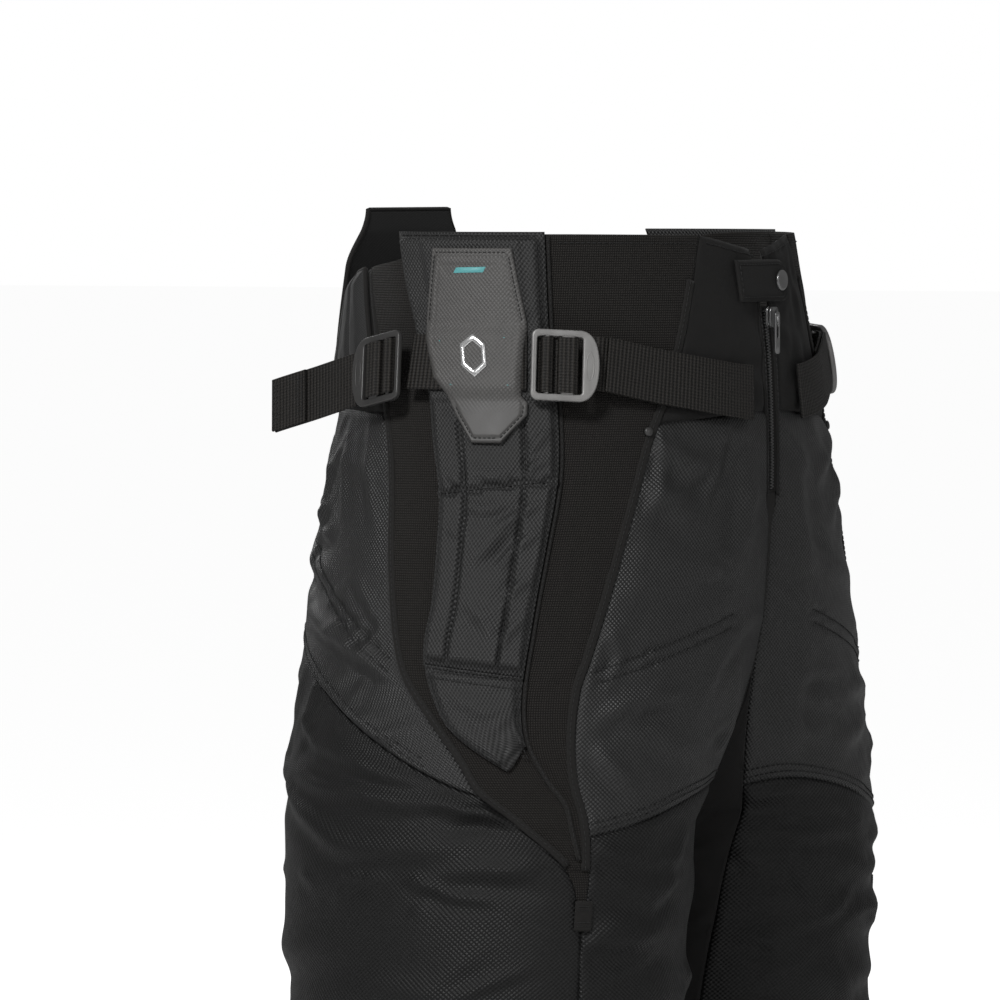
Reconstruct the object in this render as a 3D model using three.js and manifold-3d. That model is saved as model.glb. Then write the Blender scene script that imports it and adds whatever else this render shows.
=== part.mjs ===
// Knee-length padded hockey pants, standing on their hems.
// Millimetres, +Z up. The fly faces -Y, the wearer's right is -X, the origin is on the floor between the legs.
// Every soft piece is a sheet laid over one leg surface. An angle goes round the leg, 0 at the outer side and
// positive towards the front, a height goes up it, and a lift stands off it, positive outwards.

import * as THREE from "three";
import { mergeVertices } from "three/addons/utils/BufferGeometryUtils.js";
import Module from "manifold-3d";

const wasm = await Module();
wasm.setup();

// ---------------------------------------------------------------- driving sizes
const topHeight = 540; // top of the hip pads
const crotchHeight = 205;
const hipHeight = 330; // where the seat is deepest
const strapDrop = 76; // from the top down to the middle of the hip straps
const hemHeight = 22; // height of the hem bands
const strapHeight = topHeight - strapDrop;

const waistHalfWidth = 148;
const strapHalfWidth = 159;
const hipHalfWidth = 197;
const thighHalfWidth = 212;
const hemHalfWidth = 208;
const waistHalfDepth = 114;
const strapHalfDepth = 124;
const hipHalfDepth = 127;
const thighHalfDepth = 121.5;
const hemHalfDepth = 110;
const legGap = 8; // from each leg's inner side to the middle, at the hem
const legSpread = 1.8; // how late the two legs part below the waist: the power of the depth below the top

const shellThickness = 2;
const seamGap = 1.1; // each panel stops this far short of its seam line
const layerGap = 1; // between layers that lie on each other
const insideEase = 0.9; // degrees that the inner leg panel keeps clear of its neighbours besides
const centreGap = 0.9; // from the middle to a panel that is sewn there
const thighPlateThickness = 2.2;
const thighFoamThickness = 10;
const linerThickness = 1.5;
const hipPlateThickness = 2;
const hipCoverThickness = 6.6;
const kidneyThickness = 7;
const spineThickness = 5;
const spineHalfWidth = 65;
const spineRise = 12; // how far the back pad stands above the hip pads
const badgeThickness = 2;
const hemThickness = 3.4;
const hemLift = 0.4; // how far the hem stands out past the panels

const webbingWidth = 32;
const webbingThickness = 1.5;
const frontTailLength = 104;
const rearTailLength = 68;
const tailFoldLength = 26;

const buckleLength = 39;
const buckleThickness = 3.4;
const buckleRim = 4; // frame beside the webbing, top and bottom
const buckleEndBar = 3;
const buckleTab = 9.6; // the thumb tab, at its widest
const barRadius = 1.5;
const webbingClearance = 0.5; // between webbing and buckle
const sliderBarWidth = 8; // the bar that the strap is threaded over; the sewn loop's bar is round
const barHeight = buckleThickness / 2;
const roundHalf = 0.05; // a round bar is a flat-sided one with next to no flat

const flyHalfWidth = 6;
const flyDrop = 152; // from the top down to the foot of the fly
const zipDrop = 43; // and to the top of its zip
const sliderSize = [9, 3.5, 12];
const sliderLift = 3.4; // it runs down a straight line over the bulge of the fly
const pullSize = [5, 1.5, 24];
const tabHeight = 24;
const tabDrop = 16; // from the top down to the tab's upper edge
const tabReach = [-30, 26]; // from the sewn end to the free end, across the fly
const snapRadius = 6;
const snapHeight = 2;

// ---------------------------------------------------------------- the leg surface
// A smooth curve through [at, value] points, which may be in any order.
function curveThrough(points) {
  const sorted = [...points].sort((a, b) => a[0] - b[0]);
  const slope = sorted.map((p, i) => {
    const before = sorted[Math.max(i - 1, 0)];
    const after = sorted[Math.min(i + 1, sorted.length - 1)];
    return (after[1] - before[1]) / (after[0] - before[0]);
  });
  return (at) => {
    if (at <= sorted[0][0]) return sorted[0][1];
    if (at >= sorted[sorted.length - 1][0]) return sorted[sorted.length - 1][1];
    let i = 0;
    while (sorted[i + 1][0] < at) i++;
    const span = sorted[i + 1][0] - sorted[i][0];
    const t = (at - sorted[i][0]) / span;
    const s = 1 - t;
    return sorted[i][1] * s * s * (1 + 2 * t) + slope[i] * span * t * s * s
      + sorted[i + 1][1] * t * t * (3 - 2 * t) - slope[i + 1] * span * t * t * s;
  };
}

const flyBottom = topHeight - flyDrop;
const zipTop = topHeight - zipDrop;
const tabTop = topHeight - tabDrop;
const spineTop = topHeight + spineRise;

const halfWidth = curveThrough([
  [0, hemHalfWidth],
  [crotchHeight, thighHalfWidth],
  [hipHeight, hipHalfWidth],
  [strapHeight, strapHalfWidth],
  [topHeight, waistHalfWidth],
]);
const halfDepth = curveThrough([
  [0, hemHalfDepth],
  [crotchHeight, thighHalfDepth],
  [hipHeight, hipHalfDepth],
  [strapHeight, strapHalfDepth],
  [topHeight, waistHalfDepth],
]);

// The oval of one leg at a height. Its middle is `centre` from the midplane; the other leg's oval mirrors it.
function legOval(height) {
  const width = halfWidth(height);
  if (height >= crotchHeight) {
    const below = Math.max(topHeight - height, 0) / (topHeight - crotchHeight);
    const centre = 0.5 * thighHalfWidth * below ** legSpread;
    return { centre, across: width - centre, along: halfDepth(height) };
  }
  const gap = legGap * Math.min(1, (crotchHeight - height) / 60);
  return { centre: (width + gap) / 2, across: (width - gap) / 2, along: halfDepth(height) };
}

const radians = THREE.MathUtils.degToRad;
const mix = THREE.MathUtils.lerp;

// side is -1 on the wearer's right and 1 on the left.
function surfacePoint(side, angle, height, lift) {
  const { centre, across, along } = legOval(height);
  return new THREE.Vector3(
    side * (centre + (across + lift) * Math.cos(radians(angle))),
    -(along + lift) * Math.sin(radians(angle)),
    height,
  );
}

// Millimetres round the surface for one degree, at an angle and height.
function perDegree(angle, height) {
  const step = 0.05;
  return surfacePoint(1, angle, height, 0).distanceTo(surfacePoint(1, angle + step, height, 0)) / step;
}

// The angle reached by going a distance round the surface from an angle; a negative distance goes to the rear.
function angleAlong(angle, height, distance) {
  const halfWay = angle + distance / perDegree(angle, height) / 2;
  return angle + distance / perDegree(halfWay, height);
}

// The angle at which the oval is `short` from the midplane.
function angleAtMiddle(height, short) {
  const { centre, across } = legOval(height);
  return THREE.MathUtils.radToDeg(Math.acos(Math.max(-1, (short - centre) / across)));
}

// ---------------------------------------------------------------- seam lines
// Heights of seams are given as a share of the way up from the crotch to the top.
const rise = (share) => crotchHeight + share * (topHeight - crotchHeight);
const up = (points) => curveThrough(points.map(([share, angle]) => [rise(share), angle]));
const round = (points) => curveThrough(points.map(([angle, share]) => [angle, rise(share)]));
const under = (height, points) => curveThrough(points.map(([angle, drop]) => [angle, height - drop]));

// Angle against height, from the gusset's foot to the waist.
const frontSeam = up([[-0.17, 54.5], [-0.08, 55.8], [0, 54.5], [0.08, 49], [0.155, 46.6], [0.23, 46.3],
  [0.275, 47.7], [0.39, 50.6], [0.54, 53.6], [0.645, 55.8], [0.72, 59], [0.8, 61.8], [0.89, 65.1], [1, 69.6]]);
const padSeam = up([[-0.08, 53.8], [0, 49.6], [0.035, 47.2], [0.077, 41.2], [0.14, 35], [0.215, 32.8],
  [0.33, 33.2], [0.47, 34.2], [0.585, 34.6], [0.69, 32.6], [0.81, 29], [1, 27.5]]);
const rearSeam = up([[-0.17, 54.5], [-0.08, 50], [0, 35], [0.055, 23], [0.107, 17.3], [0.18, 8.3], [0.25, 0],
  [0.315, -3.7], [0.435, -7.7], [0.585, -12.2], [0.69, -17.6], [0.83, -28], [0.935, -37]]);
const padEdge = up([[0.09, 31], [0.13, 20.7], [0.17, 13.3], [0.23, 8.3], [0.275, 6.2], [0.315, 5.8],
  [0.375, 6.8], [0.465, 6.3], [0.555, 4.8], [0.645, 0.8], [0.72, -2.2], [0.84, -9.2], [0.92, -14.6], [1, -19]]);

// The seam down the inside of the leg. Above the point where it meets the other side's, it is the middle seam.
const partingHeight = rise(0.255);
const insideLeg = curveThrough([[0, 150], [0.49 * crotchHeight, 146], [0.88 * crotchHeight, 138],
  [rise(0.105), 126], [partingHeight, angleAtMiddle(partingHeight, centreGap)]]);
function innerEdge(height) {
  if (height < partingHeight) return insideLeg(height);
  const open = THREE.MathUtils.smoothstep(height, flyBottom - 16, flyBottom);
  return angleAtMiddle(height, centreGap + open * (flyHalfWidth + 1 - centreGap));
}
function rearInnerEdge(height) {
  return height < partingHeight ? -insideLeg(height) : -angleAtMiddle(height, centreGap);
}

// Height against angle.
const kneeSeam = round([[50, -0.025], [54.6, -0.02], [72, 0.003], [95, 0.042], [115, 0.058], [135, 0.04],
  [150, 0.02]]);
const seatSeam = round([[-125, 0.36], [-90, 0.345], [-52.5, 0.293], [-30, 0.224], [-9.2, 0.146],
  [9.3, 0.084], [23, 0.053], [50, 0.04]]);
const thighTop = under(strapHeight, [[50, 34.5], [60, 32], [80, 28], [100, 25.5]]);
const seatTop = under(strapHeight, [[-100, 24.5], [-60, 24.5], [-18, 26.5]]);
const waistTop = under(topHeight, [[-100, 40], [-60, 33.5], [-38, 21], [-19, 15], [-6, 5], [10, 1.3],
  [60, 1.3], [70, 2], [80.5, 6.7], [98, 15]]);
const gussetFoot = () => rise(-0.075);
const padTop = () => topHeight;
const tipSeam = round([[0, 0.277], [33, 0.248]]);
const tipFoot = round([[22, 0.118], [27, 0.095], [31, 0.098], [34, 0.135]]);

// ---------------------------------------------------------------- sheets
// A place on a panel between two seams (angle against height) and two cross seams (height against angle): a
// Coons patch, drawn in from every edge by seamGap.
function panel(start, end, bottom, top) {
  const corner = (edge, cross) => {
    let height = cross(edge(rise(0.5)));
    for (let i = 0; i < 60; i++) height = 0.5 * (height + cross(edge(height)));
    return height;
  };
  const foot = [corner(start, bottom), corner(end, bottom)];
  const head = [corner(start, top), corner(end, top)];
  const edgeAt = (edge, k, u) => {
    const height = mix(foot[k], head[k], u);
    return [edge(height), height];
  };
  const crossAt = (cross, heights, v) => {
    const angle = mix(start(heights[0]), end(heights[1]), v);
    const sag = mix(heights[0] - cross(start(heights[0])), heights[1] - cross(end(heights[1])), v);
    return [angle, cross(angle) + sag];
  };
  const cornerAt = (k, u) => edgeAt(k ? end : start, k, u);
  const raw = (u, v) => {
    const left = edgeAt(start, 0, u);
    const right = edgeAt(end, 1, u);
    const low = crossAt(bottom, foot, v);
    const high = crossAt(top, head, v);
    return [0, 1].map((k) => {
      const lowCorners = mix(cornerAt(0, 0)[k], cornerAt(1, 0)[k], v);
      const highCorners = mix(cornerAt(0, 1)[k], cornerAt(1, 1)[k], v);
      return mix(left[k], right[k], v) + mix(low[k], high[k], u) - mix(lowCorners, highCorners, u);
    });
  };
  const reach = (a, b) => surfacePoint(1, ...raw(...a), 0).distanceTo(surfacePoint(1, ...raw(...b), 0));
  return (u, v) => {
    const marginV = seamGap / (reach([u, 0], [u, 0.5]) + reach([u, 0.5], [u, 1]));
    const marginU = seamGap / (reach([0, v], [0.5, v]) + reach([0.5, v], [1, v]));
    return raw(mix(marginU, 1 - marginU, u), mix(marginV, 1 - marginV, v));
  };
}

// A closed solid from a grid of outer points and a grid of inner points, rows by columns.
// With `wrap` the columns close into a ring.
function solidBetween(outer, inner, rows, columns, flip, wrap = false) {
  const across = wrap ? columns : columns + 1;
  const index = [];
  const at = (layer, i, j) => (layer * (rows + 1) + i) * across + (wrap ? j % columns : j);
  const quad = (a, b, c, d) => (flip ? index.push(a, c, b, a, d, c) : index.push(a, b, c, a, c, d));
  for (let i = 0; i < rows; i++)
    for (let j = 0; j < columns; j++) {
      quad(at(0, i, j), at(0, i, j + 1), at(0, i + 1, j + 1), at(0, i + 1, j));
      quad(at(1, i, j), at(1, i + 1, j), at(1, i + 1, j + 1), at(1, i, j + 1));
    }
  for (let j = 0; j < columns; j++) {
    quad(at(1, 0, j), at(1, 0, j + 1), at(0, 0, j + 1), at(0, 0, j));
    quad(at(0, rows, j), at(0, rows, j + 1), at(1, rows, j + 1), at(1, rows, j));
  }
  for (let i = 0; i < rows && !wrap; i++) {
    quad(at(0, i, 0), at(0, i + 1, 0), at(1, i + 1, 0), at(1, i, 0));
    quad(at(1, i, columns), at(1, i + 1, columns), at(0, i + 1, columns), at(0, i, columns));
  }
  const geometry = new THREE.BufferGeometry();
  const numbers = [...outer, ...inner].flatMap((point) => point.toArray());
  geometry.setAttribute("position", new THREE.Float32BufferAttribute(numbers, 3));
  geometry.setIndex(index);
  return geometry;
}

const liftAt = (lift, u, v) => (typeof lift === "function" ? lift(u, v) : lift);

// A sheet on one side of the body; `place(u, v)` gives its angle and height.
function sheet(side, place, inner, outer, rows, columns) {
  const grid = (lift) => {
    const points = [];
    for (let i = 0; i <= rows; i++)
      for (let j = 0; j <= columns; j++) {
        const [angle, height] = place(i / rows, j / columns);
        points.push(surfacePoint(side, angle, height, liftAt(lift, i / rows, j / columns)));
      }
    return points;
  };
  return solidBetween(grid(outer), grid(inner), rows, columns, side > 0);
}

// A sheet across the midplane; `place(u, v)` gives its x and height, and facing is -1 in front, 1 behind.
function middleSheet(facing, place, inner, outer, rows, columns) {
  const grid = (lift) => {
    const points = [];
    for (let i = 0; i <= rows; i++)
      for (let j = 0; j <= columns; j++) {
        const [x, height] = place(i / rows, j / columns);
        const { centre, across, along } = legOval(height);
        const depth = along * Math.sqrt(1 - ((Math.abs(x) - centre) / across) ** 2);
        points.push(new THREE.Vector3(x, facing * (depth + liftAt(lift, i / rows, j / columns)), height));
      }
    return points;
  };
  return solidBetween(grid(outer), grid(inner), rows, columns, facing > 0);
}

// ---------------------------------------------------------------- layers, from the shell outwards and inwards
const padInside = layerGap;
const coverInside = padInside + hipPlateThickness + layerGap;
const padOutside = coverInside + hipCoverThickness;
const webbingInside = padOutside + layerGap;
const webbingOutside = webbingInside + webbingThickness;
const badgeOver = webbingOutside + layerGap; // the badge's inner face where it bridges the webbing
const badgeLow = padOutside + layerGap;
const loopDepth = webbingThickness + webbingClearance; // how far the loops hang below the buckle
const buckleLift = padOutside + 2 * layerGap + loopDepth;
const thighPlateOutside = -shellThickness - layerGap - 0.2;
const thighFoamOutside = thighPlateOutside - thighPlateThickness - layerGap;
const linerOutside = thighFoamOutside - thighFoamThickness - 1.5 * layerGap;

// ---------------------------------------------------------------- meshes
// Each finish is a colour, its roughness and its metalness.
const finishes = {
  nylon: [0x282828, 0.62, 0],
  ballistic: [0x212120, 0.6, 0],
  stretch: [0x1c1b19, 0.85, 0],
  twill: [0x1f1f1e, 0.85, 0],
  padMesh: [0x3d3c3b, 0.75, 0],
  foam: [0x3a3a3c, 0.9, 0],
  plate: [0x4a4a4c, 0.45, 0],
  webbing: [0x1a1816, 0.8, 0],
  buckle: [0x88837e, 0.38, 0.2],
  badge: [0x676461, 0.5, 0],
  kidney: [0x343433, 0.7, 0],
  liner: [0x202022, 0.9, 0],
  metal: [0x3c3c3c, 0.35, 0.8],
};
const pants = new THREE.Group();

function add(name, finish, geometry, parent = pants) {
  const [color, roughness, metalness] = finishes[finish];
  const mesh = new THREE.Mesh(geometry, new THREE.MeshStandardMaterial({ color, roughness, metalness }));
  mesh.name = name;
  parent.add(mesh);
  return mesh;
}

// ---------------------------------------------------------------- solids joined and cut
function solidOf(geometry) {
  const bare = (geometry.index ? geometry.toNonIndexed() : geometry.clone());
  bare.deleteAttribute("normal");
  bare.deleteAttribute("uv");
  const merged = mergeVertices(bare, 1e-4);
  return new wasm.Manifold(new wasm.Mesh({
    numProp: 3,
    vertProperties: merged.getAttribute("position").array,
    triVerts: new Uint32Array(merged.index.array),
  }));
}

function geometryOf(solid) {
  const mesh = solid.getMesh();
  const geometry = new THREE.BufferGeometry();
  geometry.setAttribute("position", new THREE.BufferAttribute(mesh.vertProperties, 3));
  geometry.setIndex(new THREE.BufferAttribute(mesh.triVerts, 1));
  return geometry;
}

// A box in a buckle's own frame: x along the strap, y across it, z outwards.
function blockOf([x0, x1], [y0, y1], [z0, z1]) {
  const box = new THREE.BoxGeometry(x1 - x0, y1 - y0, z1 - z0);
  return box.translate((x0 + x1) / 2, (y0 + y1) / 2, (z0 + z1) / 2);
}

// A flat-sided oval in x and z round a buckle bar, `half` from the middle to where it starts to turn, with an
// optional hole of the same form, drawn out along y to a width.
function roundBar(at, half, radius, hole, width) {
  const oval = (size) => {
    const points = [];
    for (const end of [1, -1])
      for (let k = 0; k <= 6; k++) {
        const turn = (k * Math.PI) / 6 - (end * Math.PI) / 2;
        const x = at + end * half + size * Math.cos(turn);
        points.push(new THREE.Vector2(x, barHeight + size * Math.sin(turn)));
      }
    return points;
  };
  const shape = new THREE.Shape(oval(radius));
  if (hole) shape.holes.push(new THREE.Path(oval(hole)));
  const geometry = new THREE.ExtrudeGeometry(shape, { depth: width, bevelEnabled: false });
  return solidOf(geometry.rotateX(Math.PI / 2).translate(0, width / 2, 0));
}

// ---------------------------------------------------------------- the ladder-lock buckle and its webbing
// Its own frame starts at the middle of the inner end bar's outer edge, on the frame's underside. What the two
// webbing loops leave of the window is shared out evenly before, between and after them.
const loopOutside = barRadius + webbingClearance + webbingThickness;
const windowEnd = buckleLength - buckleTab;
const sliderTurn = sliderBarWidth / 2 - barRadius;
const windowShare = (windowEnd - buckleEndBar - 4 * loopOutside - 2 * sliderTurn) / 3;
const fixedBarAt = buckleEndBar + windowShare + loopOutside;
const sliderBarAt = windowEnd - windowShare - loopOutside - sliderTurn;

function buckleFrame() {
  const half = webbingWidth / 2 + webbingClearance + buckleRim;
  const corner = 4;
  const tabStart = buckleLength - buckleTab - 1;
  const outline = new THREE.Shape();
  outline.moveTo(corner, -half);
  outline.lineTo(tabStart, -half);
  outline.bezierCurveTo(tabStart + 8, -half + 1, buckleLength, -half / 2, buckleLength, 0);
  outline.bezierCurveTo(buckleLength, half / 2, tabStart + 8, half - 1, tabStart, half);
  outline.lineTo(corner, half);
  outline.absarc(corner, half - corner, corner, Math.PI / 2, Math.PI, false);
  outline.absarc(corner, corner - half, corner, Math.PI, 1.5 * Math.PI, false);
  const thick = { depth: buckleThickness, bevelEnabled: false, curveSegments: 6 };
  const body = new THREE.ExtrudeGeometry(outline, thick);
  const window = webbingWidth / 2 + webbingClearance;
  const opening = blockOf([buckleEndBar, windowEnd], [-window, window], [-1, buckleThickness + 1]);
  const fixedBar = roundBar(fixedBarAt, roundHalf, barRadius, 0, 2 * window + 2);
  const sliderBar = roundBar(sliderBarAt, sliderTurn, barRadius, 0, 2 * window + 2);
  return geometryOf(solidOf(body).subtract(solidOf(opening)).add(fixedBar).add(sliderBar));
}

// The webbing inside a buckle: the sewn loop over the round bar and the strap over the wide bar, joined below.
function strapLoops() {
  const inside = barRadius + webbingClearance;
  const sewnLoop = roundBar(fixedBarAt, roundHalf, loopOutside, inside, webbingWidth);
  const strapLoop = roundBar(sliderBarAt, sliderTurn, loopOutside, inside, webbingWidth);
  const underside = barHeight - loopOutside;
  const strip = blockOf([buckleEndBar + 1, sliderBarAt + sliderTurn], [-webbingWidth / 2, webbingWidth / 2],
    [underside, underside + webbingThickness]);
  return geometryOf(sewnLoop.add(strapLoop).add(solidOf(strip)));
}

// A unit frame on the surface: `along` runs towards the thumb tab, `outward` is the surface's normal.
function surfaceFrame(side, angle, height, towardsFront, droop) {
  const step = 0.5;
  const between = (turn, climb) => surfacePoint(side, angle + turn, height + climb, 0)
    .sub(surfacePoint(side, angle - turn, height - climb, 0)).normalize();
  const round = between(step, 0);
  const outward = new THREE.Vector3().crossVectors(round, between(0, step)).normalize().multiplyScalar(-side);
  const along = round.multiplyScalar(towardsFront ? 1 : -1);
  const tilt = outward.clone().cross(along).z > 0 ? -droop : droop;
  along.applyAxisAngle(outward, radians(tilt));
  const across = outward.clone().cross(along);
  return new THREE.Matrix4().makeBasis(along, across, outward);
}

// Where the buckles sit: from the webbing that holds them, half their length on. Their tabs droop a little.
const keeperFront = 23.4;
const keeperRear = -6.6;
const frontBuckle = {
  angle: angleAlong(keeperFront, strapHeight, buckleLength / 2),
  height: strapHeight + 0.5,
  droop: 3,
};
const rearBuckle = {
  angle: angleAlong(keeperRear, strapHeight, -buckleLength / 2),
  height: strapHeight - 2.5,
  droop: 11.5,
};
const frontBuckleEnd = angleAlong(keeperFront, strapHeight, buckleLength);

function buckleGroup(side, seat, towardsFront) {
  const group = new THREE.Group();
  group.applyMatrix4(surfaceFrame(side, seat.angle, seat.height, towardsFront, seat.droop));
  const innerEnd = new THREE.Vector3(-buckleLength / 2, 0, 0).applyQuaternion(group.quaternion);
  group.position.copy(surfacePoint(side, seat.angle, seat.height, buckleLift)).add(innerEnd);
  pants.add(group);
  return group;
}

// ---------------------------------------------------------------- the sides
for (const [side, hand] of [[-1, "right"], [1, "left"]]) {
  const shell = (name, finish, edges, rows, columns) =>
    add(`${name}_${hand}`, finish, sheet(side, panel(...edges), -shellThickness, 0, rows, columns));

  shell("front_thigh_panel", "nylon", [frontSeam, innerEdge, kneeSeam, thighTop], 8, 9);
  shell("front_knee_panel", "ballistic", [frontSeam, innerEdge, () => hemHeight, kneeSeam], 9, 9);
  shell("rear_seat_panel", "nylon", [rearInnerEdge, rearSeam, seatSeam, seatTop], 10, 9);
  shell("rear_leg_panel", "ballistic", [rearInnerEdge, rearSeam, () => hemHeight, seatSeam], 12, 17);
  shell("side_stretch_front", "stretch", [padSeam, frontSeam, gussetFoot, waistTop], 18, 3);
  shell("side_stretch_rear", "stretch", [rearSeam, padSeam, gussetFoot, waistTop], 18, 5);
  const waistFoot = (angle) => thighTop(angle) + layerGap;
  const waistEnd = (height) => angleAtMiddle(height, flyHalfWidth + 1);
  shell("front_waist_panel", "twill", [frontSeam, waistEnd, waistFoot, waistTop], 4, 4);
  const rearWaistFoot = (angle) => seatTop(angle) + layerGap;
  shell("rear_waist_panel", "twill", [rearInnerEdge, rearSeam, rearWaistFoot, waistTop], 3, 7);

  // The inside of the leg, from the hem up to the arch where both legs meet.
  const arch = (angle) => {
    let low = crotchHeight;
    let high = partingHeight;
    const from = 180 - Math.abs(angle - 180);
    for (let i = 0; i < 40; i++) {
      const middle = (low + high) / 2;
      if (angleAtMiddle(middle, centreGap) > from) low = middle;
      else high = middle;
    }
    return low;
  };
  const frontInside = (height) => insideLeg(height) + insideEase;
  const rearInside = (height) => 360 - frontInside(height);
  shell("inner_leg_panel", "twill", [frontInside, rearInside, () => hemHeight, arch], 10, 8);

  // The hem band closes the leg's foot and is what the pants stand on.
  const ring = (lift) => {
    const points = [];
    for (const height of [0, hemHeight - seamGap])
      for (let j = 0; j < 32; j++) points.push(surfacePoint(side, (j * 360) / 32, height, lift));
    return points;
  };
  const band = solidBetween(ring(hemLift), ring(hemLift - hemThickness), 1, 32, side > 0, true);
  add(`hem_band_${hand}`, "twill", band);

  // Guards and liner inside the shell.
  const guardInside = (height) => Math.min(104, innerEdge(height) - 9);
  const guard = panel(() => 62, guardInside, () => rise(0.1), () => rise(0.62));
  add(`thigh_guard_plate_${hand}`, "plate",
    sheet(side, guard, thighPlateOutside - thighPlateThickness, thighPlateOutside, 4, 5));
  add(`thigh_guard_foam_${hand}`, "foam",
    sheet(side, guard, thighFoamOutside - thighFoamThickness, thighFoamOutside, 4, 5));
  const lining = panel((height) => 5 + rearInnerEdge(height), (height) => innerEdge(height) - 5,
    () => hemHeight + 20, () => rise(0.82));
  add(`liner_${hand}`, "liner", sheet(side, lining, linerOutside - linerThickness, linerOutside, 6, 20));

  // The hip pad: a plate under a quilted cover, and the soft tip below it.
  const padEnd = (height) => padSeam(height) - 1;
  const plateFrom = (height) => padEdge(height) + 3;
  const plateTo = (height) => padEnd(height) - 3;
  const hipPlate = panel(plateFrom, plateTo, () => rise(0.31), () => rise(0.93));
  const hipPlateOutside = padInside + hipPlateThickness;
  add(`hip_guard_plate_${hand}`, "plate", sheet(side, hipPlate, padInside, hipPlateOutside, 7, 3));
  add(`hip_pad_cover_${hand}`, "padMesh", sheet(side, panel(padEdge, padEnd, tipSeam, padTop),
    coverInside, padOutside, 10, 5));
  add(`hip_pad_tip_${hand}`, "padMesh", sheet(side, panel(padEdge, padEnd, tipFoot, tipSeam),
    padInside, padOutside - 2 * layerGap, 4, 4));
  const kidneyFront = (height) => rearSeam(height) - 1.5;
  const kidneyRear = () => -61;
  const kidneyFoot = under(strapHeight, [[-61, 10], [-40, 14], [-20, 16]]);
  const kidneyHead = under(topHeight, [[-61, 28.5], [-50, 23.5], [-37, 20]]);
  const kidney = panel(kidneyRear, kidneyFront, kidneyFoot, kidneyHead);
  add(`kidney_pad_${hand}`, "kidney", sheet(side, kidney, padInside, padInside + kidneyThickness, 4, 4));

  // The badge bridges the webbing. Rows: height from the strap line, and the two edges as angles.
  const bridge = webbingWidth / 2 + 3;
  const badgeRows = [[-46, 12.4, 19.2], [-30, 7.5, 24.4], [-(bridge + 4), 5.8, 24.2], [-bridge, 4.6, 22.6],
    [-9, 0.6, 22.2], [9, -2, 22.2], [bridge, -3, 22.6], [bridge + 4, -3, 22.4], [46, -2.9, 20.2],
    [66, -2.7, 18.4]];
  const overStrap = (u) => {
    const row = Math.round(u * (badgeRows.length - 1));
    return Math.abs(badgeRows[row][0]) <= bridge ? badgeOver : badgeLow;
  };
  const onBadge = (u, v) => {
    const [height, from, to] = badgeRows[Math.round(u * (badgeRows.length - 1))];
    return [mix(from, to, v), strapHeight + height];
  };
  add(`hip_badge_${hand}`, "badge",
    sheet(side, onBadge, overStrap, (u) => overStrap(u) + badgeThickness, badgeRows.length - 1, 3));

  // The webbing under the badge, from buckle to buckle.
  const keeper = (u, v) =>
    [mix(keeperRear + 0.8, keeperFront - 0.8, v), strapHeight + (u - 0.5) * webbingWidth];
  add(`keeper_webbing_${hand}`, "webbing", sheet(side, keeper, webbingInside, webbingOutside, 1, 4));

  for (const [end, seat, towardsFront] of [["front", frontBuckle, true], ["rear", rearBuckle, false]]) {
    const group = buckleGroup(side, seat, towardsFront);
    add(`${end}_buckle_${hand}`, "buckle", buckleFrame(), group);
    add(`${end}_strap_loops_${hand}`, "webbing", strapLoops(), group);
  }

  // The anchor straps run from under the thumb tabs into the seams, and the tails lie over them.
  const underTab = buckleLift - loopDepth;
  const drop = (angle, near, far) => THREE.MathUtils.clamp((far - angle) / (far - near), 0, 1) ** 2;
  const anchorFrom = frontBuckleEnd - 1;
  const anchorTo = frontSeam(strapHeight) + 0.5;
  const strapLine = curveThrough([[30, strapHeight], [40, strapHeight - 0.5], [58, strapHeight - 7.5],
    [79, strapHeight - 15], [110, strapHeight - 21]]);
  const stripAt = (from, to) => (u, v) => {
    const angle = mix(from, to, v);
    return [angle, strapLine(angle) + (u - 0.5) * webbingWidth * 0.97];
  };
  const anchorRise = underTab - webbingThickness - layerGap;
  const anchorLift = (angle) => layerGap + anchorRise * drop(angle, anchorFrom, anchorTo);
  const atColumn = (from, to, lift) => (u, v) => lift(mix(from, to, v));
  add(`front_anchor_strap_${hand}`, "webbing", sheet(side, stripAt(anchorFrom, anchorTo),
    atColumn(anchorFrom, anchorTo, anchorLift),
    atColumn(anchorFrom, anchorTo, (angle) => anchorLift(angle) + webbingThickness), 1, 4));

  // The front tail follows the body over its anchor strap, and then over the waist panel.
  const tailFrom = frontBuckleEnd + 3;
  const tailTo = angleAlong(tailFrom, strapHeight, frontTailLength);
  const tailInside = (angle) => Math.max(anchorLift(angle) + webbingThickness, layerGap) + layerGap * 0.8;
  add(`front_tail_strap_${hand}`, "webbing", sheet(side, stripAt(tailFrom, tailTo),
    atColumn(tailFrom, tailTo, tailInside),
    atColumn(tailFrom, tailTo, (angle) => tailInside(angle) + webbingThickness), 1, 9));

  const seamHere = rearSeam(strapHeight);
  const rearAnchor = (u, v) =>
    [mix(seamHere + 3, seamHere + 5.4, v), strapHeight - 4.5 + (u - 0.5) * webbingWidth * 0.9];
  add(`rear_anchor_strap_${hand}`, "webbing", sheet(side, rearAnchor,
    (u, v) => layerGap + 5 * v,
    (u, v) => layerGap + 5 * v + webbingThickness, 1, 2));

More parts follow.
